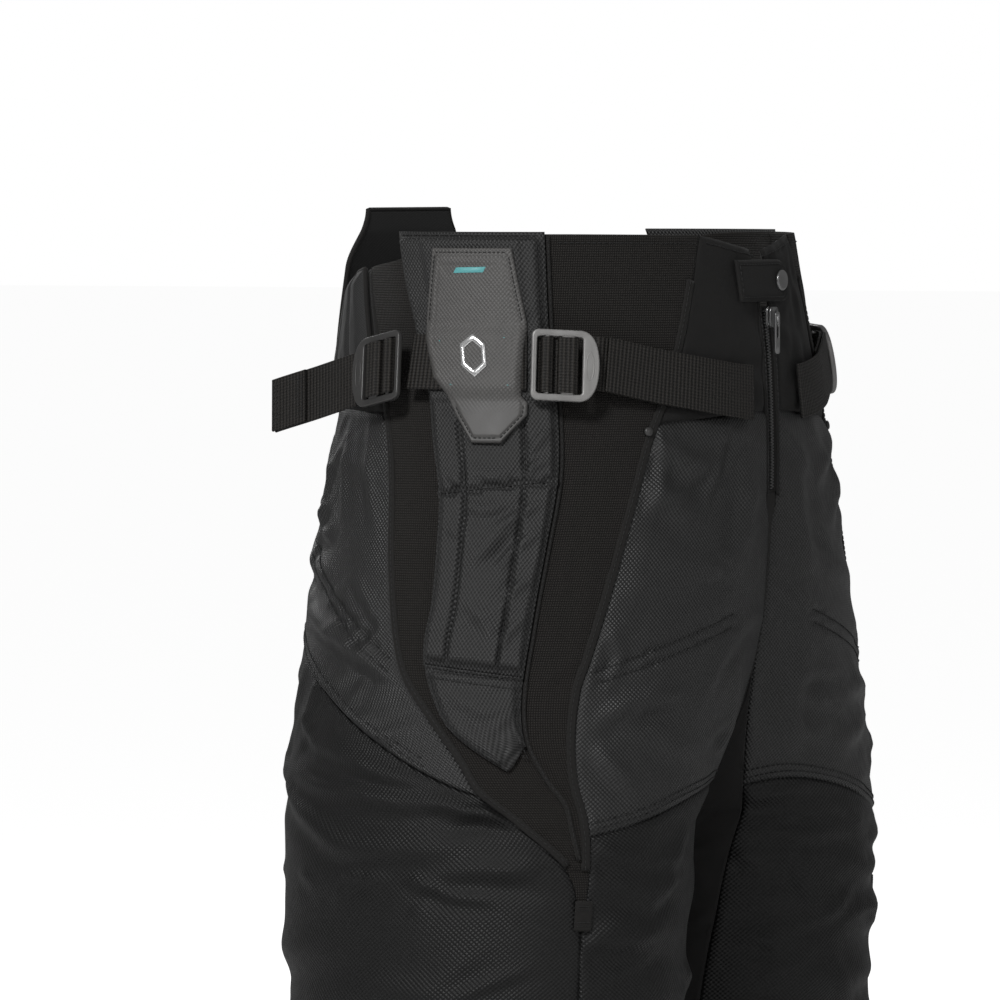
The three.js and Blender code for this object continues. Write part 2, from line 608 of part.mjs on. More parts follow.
  // The rear tail stands straight off the buckle, with its end folded back and sewn.
  const rearGroup = new THREE.Group();
  const tailDroop = rearBuckle.droop + 3;
  rearGroup.applyMatrix4(surfaceFrame(side, rearBuckle.angle, rearBuckle.height, false, tailDroop));
  const reach = new THREE.Vector3(buckleLength / 2, 0, 0).applyQuaternion(rearGroup.quaternion);
  rearGroup.position.copy(surfacePoint(side, rearBuckle.angle, rearBuckle.height, buckleLift)).add(reach);
  pants.add(rearGroup);
  const half = webbingWidth / 2;
  const tail = solidOf(blockOf([layerGap, rearTailLength], [-half, half], [-2, webbingThickness - 2]));
  const fold = solidOf(blockOf([rearTailLength - tailFoldLength, rearTailLength], [-half, half],
    [-2, 2 * webbingThickness - 2]));
  add(`rear_tail_strap_${hand}`, "webbing", geometryOf(tail.add(fold)), rearGroup);
}

// ---------------------------------------------------------------- the middle
const spineFoot = strapHeight - 23;
add("spine_guard", "kidney", middleSheet(1, (u, v) => {
  const height = mix(spineFoot, spineTop, u);
  const taper = 1 - 0.28 * THREE.MathUtils.smoothstep(u, 0.7, 1);
  return [mix(-spineHalfWidth, spineHalfWidth, v) * taper, height];
}, padInside, padInside + spineThickness, 6, 6));

const onFly = (u, v) => [mix(-flyHalfWidth, flyHalfWidth, v), mix(flyBottom + 3, zipTop, u)];
add("fly_zip", "twill", middleSheet(-1, onFly, -shellThickness, 0, 6, 2));

const sliderGroup = new THREE.Group();
sliderGroup.position.set(0, -halfDepth(zipTop) - sliderLift, zipTop);
pants.add(sliderGroup);
const sliderBody = new THREE.BoxGeometry(...sliderSize);
sliderBody.translate(0, -sliderSize[1] / 2, -sliderSize[2] / 2);
add("zip_slider", "metal", sliderBody, sliderGroup);
const pullBody = new THREE.BoxGeometry(...pullSize);
pullBody.translate(0, -sliderSize[1] - layerGap * 0.6 - pullSize[1] / 2, -3 - pullSize[2] / 2);
add("zip_pull", "metal", pullBody, sliderGroup);

const onTab = (u, v) => [mix(...tabReach, v), mix(tabTop - tabHeight, tabTop, u)];
add("waist_tab", "twill", middleSheet(-1, onTab, layerGap, layerGap + shellThickness, 2, 4));
const snap = new THREE.CylinderGeometry(snapRadius, snapRadius, snapHeight, 16);
const snapAt = tabReach[1] - 9;
const snapMiddle = tabTop - tabHeight / 2;
const snapDepth = halfDepth(snapMiddle) + 2 * layerGap + shellThickness;
snap.translate(snapAt, -snapDepth - snapHeight / 2, snapMiddle);
add("snap_cap", "metal", snap);

export default pants;
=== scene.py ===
import bpy
import numpy as np
from mathutils import Matrix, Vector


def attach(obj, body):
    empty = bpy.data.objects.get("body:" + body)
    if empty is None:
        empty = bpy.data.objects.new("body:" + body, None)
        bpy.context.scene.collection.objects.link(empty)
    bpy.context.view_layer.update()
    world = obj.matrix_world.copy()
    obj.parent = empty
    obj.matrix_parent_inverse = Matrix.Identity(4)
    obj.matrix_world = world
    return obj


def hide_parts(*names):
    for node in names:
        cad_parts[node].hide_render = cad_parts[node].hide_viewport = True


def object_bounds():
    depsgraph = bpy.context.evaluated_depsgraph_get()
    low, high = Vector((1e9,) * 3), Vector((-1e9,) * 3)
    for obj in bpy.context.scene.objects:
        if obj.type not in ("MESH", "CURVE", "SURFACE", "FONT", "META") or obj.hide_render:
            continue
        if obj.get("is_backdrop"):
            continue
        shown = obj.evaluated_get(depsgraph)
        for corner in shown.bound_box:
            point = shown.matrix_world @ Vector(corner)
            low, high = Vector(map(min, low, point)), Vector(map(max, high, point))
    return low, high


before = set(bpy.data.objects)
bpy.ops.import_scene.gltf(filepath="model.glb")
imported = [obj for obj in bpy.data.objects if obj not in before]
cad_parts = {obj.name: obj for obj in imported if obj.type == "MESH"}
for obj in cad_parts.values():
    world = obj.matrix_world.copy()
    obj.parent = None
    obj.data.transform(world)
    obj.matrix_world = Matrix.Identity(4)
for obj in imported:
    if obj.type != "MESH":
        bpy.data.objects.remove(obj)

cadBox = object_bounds()
hands = {"right": -1, "left": 1}
mm = 0.001

# camera, floor and lights
view = {"azimuth": -60, "height": 1.5, "lens": 501, "distance": 8.045, "aim": (-0.02367, 0.0410, 0.3845)}


def aimed(thing, place, target):
    # the thing's -Z axis runs from the place to the target, with +Y as near upright as it can be
    back = np.array(place, float) - target
    back /= np.linalg.norm(back)
    right = np.cross((0, 0, 1), back)
    right /= np.linalg.norm(right)
    matrix = np.eye(4)
    matrix[:3, :3] = np.stack([right, np.cross(back, right), back], 1)
    matrix[:3, 3] = place
    thing.matrix_world = Matrix(matrix)


def makeCamera():
    camera = bpy.data.objects.new("camera", bpy.data.cameras.new("camera"))
    bpy.context.collection.objects.link(camera)
    camera.data.lens = view["lens"]
    camera.data.clip_end = 90
    turn, lift = np.radians(view["azimuth"]), np.radians(view["height"])
    back = np.array([np.sin(turn) * np.cos(lift), -np.cos(turn) * np.cos(lift), np.sin(lift)])
    aimed(camera, np.array(view["aim"]) + back * view["distance"], np.array(view["aim"]))
    bpy.context.scene.camera = camera


def makeStage():
    mesh = bpy.data.meshes.new("floor")
    mesh.from_pydata([(-40, -40, 0), (40, -40, 0), (40, 40, 0), (-40, 40, 0)], [], [(0, 1, 2, 3)])
    floor = bpy.data.objects.new("floor", mesh)
    bpy.context.collection.objects.link(floor)
    paint = bpy.data.materials.new("pale floor")
    paint.use_nodes = True
    shader = paint.node_tree.nodes["Principled BSDF"]
    shader.inputs["Base Color"].default_value = (0.86, 0.86, 0.86, 1)
    shader.inputs["Roughness"].default_value = 0.9
    shader.inputs["Specular IOR Level"].default_value = 0
    shader.inputs["Emission Color"].default_value = (1, 1, 1, 1)
    # the far floor stays pale to the eye without lighting the pants from below
    seen = paint.node_tree.nodes.new("ShaderNodeLightPath").outputs["Is Camera Ray"]
    glow = paint.node_tree.nodes.new("ShaderNodeMath")
    glow.operation = "MULTIPLY"
    glow.inputs[1].default_value = 0.8
    paint.node_tree.links.new(seen, glow.inputs[0])
    paint.node_tree.links.new(glow.outputs[0], shader.inputs["Emission Strength"])
    mesh.materials.append(paint)
    floor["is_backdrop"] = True
    world = bpy.data.worlds.new("studio")
    world.use_nodes = True
    tree = world.node_tree
    seen = tree.nodes.new("ShaderNodeLightPath").outputs["Is Camera Ray"]
    strength = tree.nodes.new("ShaderNodeMapRange")  # white behind the object, softer as its light
    strength.inputs["To Min"].default_value = 0.2
    strength.inputs["To Max"].default_value = 1.0
    tree.links.new(seen, strength.inputs["Value"])
    tree.links.new(strength.outputs["Result"], tree.nodes["Background"].inputs["Strength"])
    tree.nodes["Background"].inputs["Color"].default_value = (1, 1, 1, 1)
    bpy.context.scene.world = world
    softboxes = [  # name, place, size, watts
        ("key", (-2.4, -0.35, 2.05), 0.5, 46),
        ("front", (-1.2, -2.6, 1.3), 1.2, 6),
        ("rim", (1.8, 2.2, 1.6), 1.0, 10),
    ]
    for name, place, size, watts in softboxes:
        lamp = bpy.data.objects.new(name, bpy.data.lights.new(name, "AREA"))
        lamp.data.size = size
        lamp.data.energy = watts
        bpy.context.collection.objects.link(lamp)
        aimed(lamp, place, np.array([0, 0, 0.35]))


makeCamera()
makeStage()
bpy.context.scene.view_settings.view_transform = "Standard"
print("stage set")

# the leg surface: an angle round the leg, 0 at the outer side and positive to the front, a height, and a lift
body = {
    "top": 540, "crotch": 205, "strapDrop": 76, "flyDrop": 152, "thigh": 212, "legGap": 8, "spread": 1.8,
    "width": [(0, 208), (205, 212), (330, 197), (464, 159), (540, 148)],
    "depth": [(0, 110), (205, 121.5), (330, 127), (464, 124), (540, 114)],
}
strapHeight = body["top"] - body["strapDrop"]
flyFoot = body["top"] - body["flyDrop"]


def curveThrough(points):
    # cubics through (at, value) points, whose slope at a point is that between its neighbours
    at, value = np.array(sorted(points), float).T
    ahead, behind = np.minimum(np.arange(len(at)) + 1, len(at) - 1), np.maximum(np.arange(len(at)) - 1, 0)
    slope = (value[ahead] - value[behind]) / (at[ahead] - at[behind])

    def curve(x):
        x = np.clip(np.asarray(x, float), at[0], at[-1])
        i = np.clip(np.searchsorted(at, x) - 1, 0, len(at) - 2)
        span = at[i + 1] - at[i]
        t = (x - at[i]) / span
        s = 1 - t
        start = value[i] * s * s * (1 + 2 * t) + slope[i] * span * t * s * s
        return start + value[i + 1] * t * t * (3 - 2 * t) - slope[i + 1] * span * t * t * s

    return curve


halfWidth = curveThrough(body["width"])
halfDepth = curveThrough(body["depth"])


def legOval(height):
    # the middle and the two half axes of one leg's oval: the middle moves out as a power of the way down
    height = np.asarray(height, float)
    width = halfWidth(height)
    below = np.clip((body["top"] - height) / (body["top"] - body["crotch"]), 0, 1)
    joined = 0.5 * body["thigh"] * below ** body["spread"]
    gap = body["legGap"] * np.clip((body["crotch"] - height) / 60, 0, 1)
    above = height >= body["crotch"]
    centre = np.where(above, joined, (width + gap) / 2)
    return centre, np.where(above, width - joined, (width - gap) / 2), halfDepth(height)


def skin(side, angle, height, lift=0.0):
    # the oval's own sine and cosine, each axis longer by the lift
    centre, across, along = legOval(height)
    turn = np.radians(angle)
    x = side * (centre + (across + lift) * np.cos(turn))
    return np.stack(np.broadcast_arrays(x, -(along + lift) * np.sin(turn), height), -1)


def angleAtMiddle(height, short):
    centre, across, along = legOval(height)
    return np.degrees(np.arccos(np.clip((short - centre) / across, -1, 1)))


def perDegree(angle, height):
    return np.linalg.norm(skin(1, angle + 0.05, height) - skin(1, angle, height), axis=-1) / 0.05


def angleAlong(angle, height, distance):
    halfWay = angle + distance / perDegree(angle, height) / 2
    return angle + distance / perDegree(halfWay, height)


def smooth(x, low=0.0, high=1.0):
    t = np.clip((x - low) / (high - low), 0, 1)
    return t * t * (3 - 2 * t)


# seam lines, as in the pattern: (share of the rise, angle), and (angle, share of the rise)
def rise(share):
    return body["crotch"] + share * (body["top"] - body["crotch"])


def up(*points):
    return curveThrough([(rise(share), angle) for share, angle in points])


def across(*points):
    return curveThrough([(angle, rise(share)) for angle, share in points])


def under(height, *points):
    return curveThrough([(angle, height - drop) for angle, drop in points])


frontSeam = up((-0.17, 54.5), (-0.08, 55.8), (0, 54.5), (0.08, 49), (0.155, 46.6), (0.23, 46.3), (0.275, 47.7),
               (0.39, 50.6), (0.54, 53.6), (0.645, 55.8), (0.72, 59), (0.8, 61.8), (0.89, 65.1), (1, 69.6))
padSeam = up((-0.08, 53.8), (0, 49.6), (0.035, 47.2), (0.077, 41.2), (0.14, 35), (0.215, 32.8), (0.33, 33.2),
             (0.47, 34.2), (0.585, 34.6), (0.69, 32.6), (0.81, 29), (1, 27.5))
rearSeam = up((-0.17, 54.5), (-0.08, 50), (0, 35), (0.055, 23), (0.107, 17.3), (0.18, 8.3), (0.25, 0),
              (0.315, -3.7), (0.435, -7.7), (0.585, -12.2), (0.69, -17.6), (0.83, -28), (0.935, -37))
padEdge = up((0.09, 31), (0.13, 20.7), (0.17, 13.3), (0.23, 8.3), (0.275, 6.2), (0.315, 5.8), (0.375, 6.8),
             (0.465, 6.3), (0.555, 4.8), (0.645, 0.8), (0.72, -2.2), (0.84, -9.2), (0.92, -14.6), (1, -19))
padEnd = lambda height: padSeam(height) - 1
partingHeight = rise(0.255)
insideLeg = curveThrough([(0, 150), (0.49 * body["crotch"], 146), (0.88 * body["crotch"], 138), (rise(0.105), 126),
                          (partingHeight, float(angleAtMiddle(partingHeight, 0.9)))])


middleSeam = {"half": 0.5, "notch": 16, "opens": 5.5}  # half its gap, and the notch at the fly's foot


def innerEdge(height):
    half = middleSeam["half"] + middleSeam["opens"] * smooth(height, flyFoot - middleSeam["notch"], flyFoot)
    return np.where(height < partingHeight, insideLeg(height), angleAtMiddle(height, half))


def rearInnerEdge(height):
    return np.where(height < partingHeight, -insideLeg(height), -angleAtMiddle(height, middleSeam["half"]))


kneeSeam = across((50, -0.025), (54.6, -0.02), (72, 0.003), (95, 0.042), (115, 0.058), (135, 0.04), (150, 0.02))
seatSeam = across((-125, 0.36), (-90, 0.345), (-52.5, 0.293), (-30, 0.224), (-9.2, 0.146), (9.3, 0.084),
                  (23, 0.053), (50, 0.04))
thighTop = under(strapHeight, (50, 34.5), (60, 32), (80, 28), (100, 25.5))
seatTop = under(strapHeight, (-100, 24.5), (-60, 24.5), (-18, 26.5))
waistTop = under(body["top"], (-100, 40), (-60, 33.5), (-38, 21), (-19, 15), (-6, 5), (10, 1.3), (60, 1.3),
                 (70, 2), (80.5, 6.7), (98, 15))
tipSeam = across((0, 0.277), (33, 0.248))
tipFoot = across((22, 0.118), (27, 0.095), (31, 0.098), (34, 0.135))
level = lambda height: lambda angle: height + 0 * np.asarray(angle, float)
gussetFoot = level(rise(-0.075))


def archAt(angle):
    # the height at which the oval reaches the middle at that angle
    heights = np.linspace(body["crotch"], partingHeight, 300)
    reached = angleAtMiddle(heights, middleSeam["half"])
    return np.interp(-(180 - np.abs(np.asarray(angle) - 180)), -reached, heights)


def patch(start, end, bottom, top, spacing=3.5, inset=0.3, cells=None):
    # a Coons patch in angle and height: the two ruled surfaces between opposite edges, less the corners' own
    def corner(edge, cross):
        height = float(cross(edge(rise(0.5))))
        for _ in range(60):
            height = 0.5 * (height + float(cross(edge(height))))
        return height

    foot = [corner(start, bottom), corner(end, bottom)]
    head = [corner(start, top), corner(end, top)]
    mix = lambda a, b, t: a + (b - a) * t

    def raw(u, v):
        leftHeight, rightHeight = mix(foot[0], head[0], u), mix(foot[1], head[1], u)
        low, high = mix(start(foot[0]), end(foot[1]), v), mix(start(head[0]), end(head[1]), v)
        lowSag = mix(foot[0] - bottom(start(foot[0])), foot[1] - bottom(end(foot[1])), v)
        highSag = mix(head[0] - top(start(head[0])), head[1] - top(end(head[1])), v)
        angle = mix(start(leftHeight), end(rightHeight), v) + mix(low, high, u) - mix(
            mix(start(foot[0]), end(foot[1]), v), mix(start(head[0]), end(head[1]), v), u)
        height = mix(leftHeight, rightHeight, v) + mix(bottom(low) + lowSag, top(high) + highSag, u) - mix(
            mix(foot[0], foot[1], v), mix(head[0], head[1], v), u)
        return angle, height

    def reach(u0, v0, u1, v1):
        t = np.linspace(0, 1, 9)
        u0, v0, u1, v1 = (np.asarray(x, float)[..., None] for x in (u0, v0, u1, v1))
        line = skin(1, *raw(mix(u0, u1, t), mix(v0, v1, t)))
        return np.linalg.norm(np.diff(line, axis=-2), axis=-1).sum(-1)

    probe = np.linspace(0, 1, 5)
    rows = cells[0] if cells else int(np.ceil(reach(0 * probe, probe, 1 + 0 * probe, probe).max() / spacing))
    columns = cells[1] if cells else int(np.ceil(reach(probe, 0 * probe, probe, 1 + 0 * probe).max() / spacing))
    u, v = np.linspace(0, 1, rows + 1), np.linspace(0, 1, columns + 1)
    marginU = inset / np.maximum(reach(0 * v, v, 1 + 0 * v, v), 1)
    marginV = inset / np.maximum(reach(u, 0 * u, u, 1 + 0 * u), 1)
    return raw(mix(marginU, 1 - marginU, u[:, None]), mix(marginV[:, None], 1 - marginV[:, None], v))


# grids and meshes
def unit(vector):
    return vector / np.maximum(np.linalg.norm(vector, axis=-1, keepdims=True), 1e-12)


def gridNormals(points, side=-1):
    # rows go up and columns go to the front, so their cross product points off the body
    return unit(np.cross(np.gradient(points, axis=1), np.gradient(points, axis=0)) * -side)


def gridFaces(rows, columns, flip=False, wrap=False, start=0):
    # quads of a grid of rows by columns points, whose columns may close into a ring
    i, j = np.meshgrid(np.arange(rows - 1), np.arange(columns if wrap else columns - 1), indexing="ij")
    after = (j + 1) % columns
    quads = np.stack([i * columns + j, i * columns + after, (i + 1) * columns + after, (i + 1) * columns + j], -1)
    quads = quads.reshape(-1, 4) + start
    return quads[:, ::-1] if flip else quads


def capped(grid, turned=False):
    # a stack of rings with flat ends
    index = np.arange(grid.shape[0] * grid.shape[1]).reshape(grid.shape[:2])
    ends = [index[:1], index[-1:, ::-1]] if turned else [index[:1, ::-1], index[-1:]]
    return grid.reshape(-1, 3), [gridFaces(*index.shape, wrap=True), *ends]


def looped(grid):
    # a stack of rings whose last one joins the first
    index = np.arange(grid.shape[0] * grid.shape[1]).reshape(grid.shape[:2])
    close = np.stack([index[-1], np.roll(index[-1], -1), np.roll(index[0], -1), index[0]], -1)
    return grid.reshape(-1, 3), [gridFaces(*index.shape, wrap=True), close]


def borderOf(grid):
    # once round a grid's edge
    return np.concatenate([grid[0], grid[1:, -1], grid[-1, -2::-1], grid[-2:0:-1, 0]])


def gridOf(rows, columns):
    # the two shares of a grid of points, up it and across it
    return np.meshgrid(np.linspace(0, 1, rows), np.linspace(0, 1, columns), indexing="ij")


def cellsIn(shape):
    # how many cells each grid point is from the grid's edge
    i, j = np.meshgrid(np.arange(shape[0]), np.arange(shape[1]), indexing="ij")
    return np.minimum(np.minimum(i, shape[0] - 1 - i), np.minimum(j, shape[1] - 1 - j))


def lengthAlong(points):
    return np.concatenate([[0], np.cumsum(np.linalg.norm(np.diff(points, axis=0), axis=-1))])


def alike(axis, points):
    # the same direction at every point
    return np.broadcast_to(np.array(axis, float), points.shape)


def outlined(corners, count):
    # a closed outline's points, so many along each of its straight edges
    return np.concatenate([np.linspace(a, c, count)[:-1] for a, c in zip(corners, np.roll(corners, -1, 0))])


def makeMesh(name, points, faces, uv=None, paint=None):
    # points in mm become a smooth object in metres; faces are arrays of one polygon size each
    points = np.asarray(points, float).reshape(-1, 3)
    mesh = bpy.data.meshes.new(name)
    groups = [np.asarray(group) for group in (faces if isinstance(faces, list) else [faces])]
    loops = np.concatenate([group.ravel() for group in groups]).astype(np.int32)
    sizes = np.concatenate([np.full(len(group), group.shape[1]) for group in groups]).astype(np.int32)
    mesh.vertices.add(len(points))
    mesh.vertices.foreach_set("co", (points * mm).ravel())
    mesh.loops.add(len(loops))
    mesh.loops.foreach_set("vertex_index", loops)
    mesh.polygons.add(len(sizes))
    mesh.polygons.foreach_set("loop_start", np.concatenate([[0], np.cumsum(sizes)[:-1]]).astype(np.int32))
    mesh.polygons.foreach_set("use_smooth", np.ones(len(sizes), bool))
    mesh.update(calc_edges=True)
    if uv is not None:
        layer = mesh.uv_layers.new(name="cloth")
        layer.data.foreach_set("uv", (np.asarray(uv, float).reshape(-1, 2) * mm)[loops].ravel())
    mesh.validate()
    thing = bpy.data.objects.new(name, mesh)
    bpy.context.collection.objects.link(thing)
    if paint:
        mesh.materials.append(paint)
    return thing


def clothUv(angle, height):
    # mm round the leg from the grid's middle and up it, which the weaves follow
    middle = angle[:, angle.shape[1] // 2][:, None]
    return np.stack([(angle - middle) * perDegree(middle, height), height], -1)


def finer(grid, times):
    # times as many cells each way, on Catmull-Rom curves through the grid's points
    for axis in (0, 1):
        g = np.moveaxis(grid, axis, 0)
        padded = np.concatenate([2 * g[:1] - g[1:2], g, 2 * g[-1:] - g[-2:-1]])
        at = np.linspace(0, len(g) - 1, (len(g) - 1) * times + 1)
        i = np.minimum(at.astype(int), len(g) - 2)
        t = (at - i).reshape((-1,) + (1,) * (g.ndim - 1))
        a, b, c, d = (padded[i + k] for k in range(4))
        g = 0.5 * (2 * b + (c - a) * t + (2 * a - 5 * b + 4 * c - d) * t ** 2 + (3 * b - a - 3 * c + d) * t ** 3)
        grid = np.moveaxis(g, 0, axis)
    return grid


def ripple(shape, seed, waves, count=5):
    # a sum of a few sine waves in turned directions, the same for the same seed
    rng = np.random.default_rng(seed)
    u, v = gridOf(*shape)
    field = np.zeros(shape)
    for _ in range(count):
        turn, phase = rng.uniform(0, 2 * np.pi, 2)
        field += np.sin(2 * np.pi * rng.uniform(0.5, 1) * waves * (u * np.sin(turn) + v * np.cos(turn)) + phase)
    return field / count


def relax(jobs, frames=24):
    # cloth: each grid is held where its mask says, cut too large by its rest shape, and pushed outwards
    scene, made = bpy.context.scene, []
    for job in jobs:
        points = job["points"]
        rows, columns = points.shape[:2]
        start = points + gridNormals(points, job["side"]) * (
            0.8 * ripple((rows, columns), job["seed"], job.get("waves", 5)) * (1 - job["pinned"]))[..., None]
        cut = makeMesh("cut", start, gridFaces(rows, columns, job["side"] > 0))
        pinned = cut.vertex_groups.new(name="pinned")
        pinned.add(np.flatnonzero(job["pinned"].ravel() > 0.5).tolist(), 1.0, "REPLACE")
        amount, direction = job.get("pull", (0, (0, 0, 1)))
        direction = np.array(direction, float) / np.linalg.norm(direction)
        cutShape = points * (1 + job["grow"]) + amount * (points @ direction)[..., None] * direction
        cut.shape_key_add(name="Basis")
        rest = cut.shape_key_add(name="rest")
        rest.data.foreach_set("co", (cutShape * mm).ravel())
        rest.value = 0
        cloth = cut.modifiers.new("cloth", "CLOTH")
        settings = cloth.settings
        settings.quality = 5
        settings.mass = 0.2
        settings.tension_stiffness = settings.compression_stiffness = 20
        settings.shear_stiffness = 8
        settings.bending_stiffness = job.get("bending", 0.8)
        settings.tension_damping = settings.compression_damping = 8
        settings.air_damping = 2
        settings.vertex_group_mass = "pinned"
        settings.rest_shape_key = rest
        settings.use_pressure = True
        settings.uniform_pressure_force = job["push"]
        settings.effector_weights.gravity = 0
        cloth.collision_settings.use_collision = False
        cloth.point_cache.frame_start = 1
        cloth.point_cache.frame_end = frames
        made.append(cut)
    for number in range(1, frames + 1):
        scene.frame_set(number)
    graph = bpy.context.evaluated_depsgraph_get()
    for job, cut in zip(jobs, made):
        mesh = cut.evaluated_get(graph).data
        settled = np.empty(len(mesh.vertices) * 3)
        mesh.vertices.foreach_get("co", settled)
        moved = settled.reshape(job["points"].shape) / mm - job["points"]
        normal = gridNormals(job["points"], job["side"])
        off = (moved * normal).sum(-1, keepdims=True)
        low, high = job.get("keep", (-1.2, 7))
        capped = np.where(off > 0, high * np.tanh(off / high), low * np.tanh(off / low))
        job["points"] = job["points"] + np.clip(moved - off * normal, -3, 3) + capped * normal
    for cut in made:
        bpy.data.objects.remove(cut)
    scene.frame_set(1)


def keep(thing, bodyName="pants", replaces=()):
    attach(thing, bodyName)
    if replaces:
        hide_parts(*replaces)
    return thing


# finishes: a Wire is a socket, and arithmetic on wires adds Math nodes
class Wire:
    def __init__(self, finish, socket):
        self.finish, self.socket = finish, socket

    def maths(self, operation, *values):
        return self.finish.node("ShaderNodeMath", {"operation": operation}, dict(enumerate(values)))

    def __add__(self, other):
        return self.maths("ADD", self, other)

    def __radd__(self, other):
        return self.maths("ADD", other, self)

    def __sub__(self, other):
        return self.maths("SUBTRACT", self, other)

    def __rsub__(self, other):
        return self.maths("SUBTRACT", other, self)

    def __mul__(self, other):
        return self.maths("MULTIPLY", self, other)

    def __rmul__(self, other):
        return self.maths("MULTIPLY", other, self)

    def sine(self):
        return self.maths("SINE", self)

    def size(self):
        return self.maths("ABSOLUTE", self)

    def least(self, other):
        return self.maths("MINIMUM", self, other)

    def clamped(self):
        return self.maths("MAXIMUM", self.maths("MINIMUM", self, 1.0), 0.0)


class Finish:
    def __init__(self, name, constants):
        self.material = bpy.data.materials.new(name)
        self.material.use_nodes = True
        self.shader = self.material.node_tree.nodes["Principled BSDF"]
        for socket, value in constants.items():
            self.shader.inputs[socket].default_value = value

    def node(self, kind, settings, sockets, output=0):
        made = self.material.node_tree.nodes.new(kind)
        for setting, value in settings.items():
            setattr(made, setting, value)
        for socket, value in sockets.items():
            if isinstance(value, Wire):
                self.material.node_tree.links.new(value.socket, made.inputs[socket])
            else:
                made.inputs[socket].default_value = value
        return Wire(self, made.outputs[output])

    def feed(self, socket, wire):
        self.material.node_tree.links.new(wire.socket, self.shader.inputs[socket])

    def place(self):
        return self.node("ShaderNodeTexCoord", {}, {}, "Object")

    def clothPlace(self):
        return self.node("ShaderNodeUVMap", {"uv_map": "cloth"}, {})

    def axes(self):
        apart = self.node("ShaderNodeSeparateXYZ", {}, {0: self.clothPlace()})
        return apart, Wire(self, apart.socket.node.outputs[1])

    def noise(self, size, detail=2, where=None):
        return self.node("ShaderNodeTexNoise", {}, {
            "Vector": where or self.place(), "Scale": 1 / (size * mm), "Detail": detail})

    def tint(self, dark, light, share):
        return self.node("ShaderNodeMix", {"data_type": "RGBA"}, {
            0: share, 6: (*dark, 1), 7: (*light, 1)}, 2)

    def bump(self, height, depth, strength=1.0):
        self.feed("Normal", self.node("ShaderNodeBump", {}, {
            "Height": height, "Distance": depth * mm, "Strength": strength}))


def grey(level, warmth=0.0):
    return (level * (1 + warmth), level, level * (1 - warmth))


def wovenFinish(name, weave):
    # two threads cross: dots are the product of two sines, a grid the smaller of two, ribs one
    finish = Finish(name, {"Specular IOR Level": weave["shine"], "Sheen Weight": weave["sheen"],
                           "Sheen Roughness": 0.4, "Sheen Tint": (*grey(0.6), 1)})
    u, v = finish.axes()
    round_ = (u * (2 * np.pi / (weave["pitch"][0] * mm))).sine()
    up_ = (v * (2 * np.pi / (weave["pitch"][1] * mm))).sine()
    if weave["pattern"] == "dots":
        threads = round_ * up_ * 0.5 + 0.5
    elif weave["pattern"] == "grid":
        threads = (round_.size()).least(up_.size())
    else:
        threads = (round_ * 0.34 + up_ * 0.2) + 0.5
    fuzz = finish.noise(weave["fuzz"], 3)
    share = (threads * weave["contrast"] + fuzz * (1 - weave["contrast"])).clamped()
    finish.feed("Base Color", finish.tint(weave["dark"], weave["light"], share))
    finish.feed("Roughness", fuzz * 0.2 + (weave["rough"] - 0.1))
    finish.bump(threads + fuzz * 0.35, weave["depth"])
    return finish.material


def mouldedFinish(name, mould):
    # a moulded or cast skin: a fine grain and a slow change of gloss
    finish = Finish(name, {"Metallic": mould.get("metal", 0.0), "Specular IOR Level": mould.get("shine", 0.5),
                           "Coat Weight": mould.get("coat", 0.0), "Coat Roughness": 0.25})
    slow, grain = finish.noise(mould.get("patch", 14), 3), finish.noise(mould.get("grain", 0.5), 2)
    finish.feed("Base Color", finish.tint(mould["dark"], mould["light"], slow))
    finish.feed("Roughness", slow * 0.16 + grain * 0.1 + (mould["rough"] - 0.13))
    finish.bump(grain, mould.get("depth", 0.05))
    return finish.material


def rubberFinish(name, rubber):
    # a soft moulded skin with a raised diamond grain: the product of two sines, faded out towards its foot
    finish = Finish(name, {"Specular IOR Level": 0.45})
    u, v = finish.axes()
    turn = 2 * np.pi / (rubber["pitch"] * mm)
    diamonds = ((u * turn).sine() * (v * (turn * 0.8)).sine()) * 0.5 + 0.5
    fade = ((v - rubber["fade"][0] * mm) * (1 / ((rubber["fade"][1] - rubber["fade"][0]) * mm))).clamped()
    slow, grain = finish.noise(9, 3), finish.noise(0.35, 2)
    raised = diamonds * fade
    finish.feed("Base Color", finish.tint(rubber["dark"], rubber["light"], (raised * 0.5 + slow * 0.5).clamped()))
    finish.feed("Roughness", slow * 0.15 + (rubber["rough"] - 0.08))
    finish.bump(raised + grain * 0.15, rubber["depth"])
    return finish.material


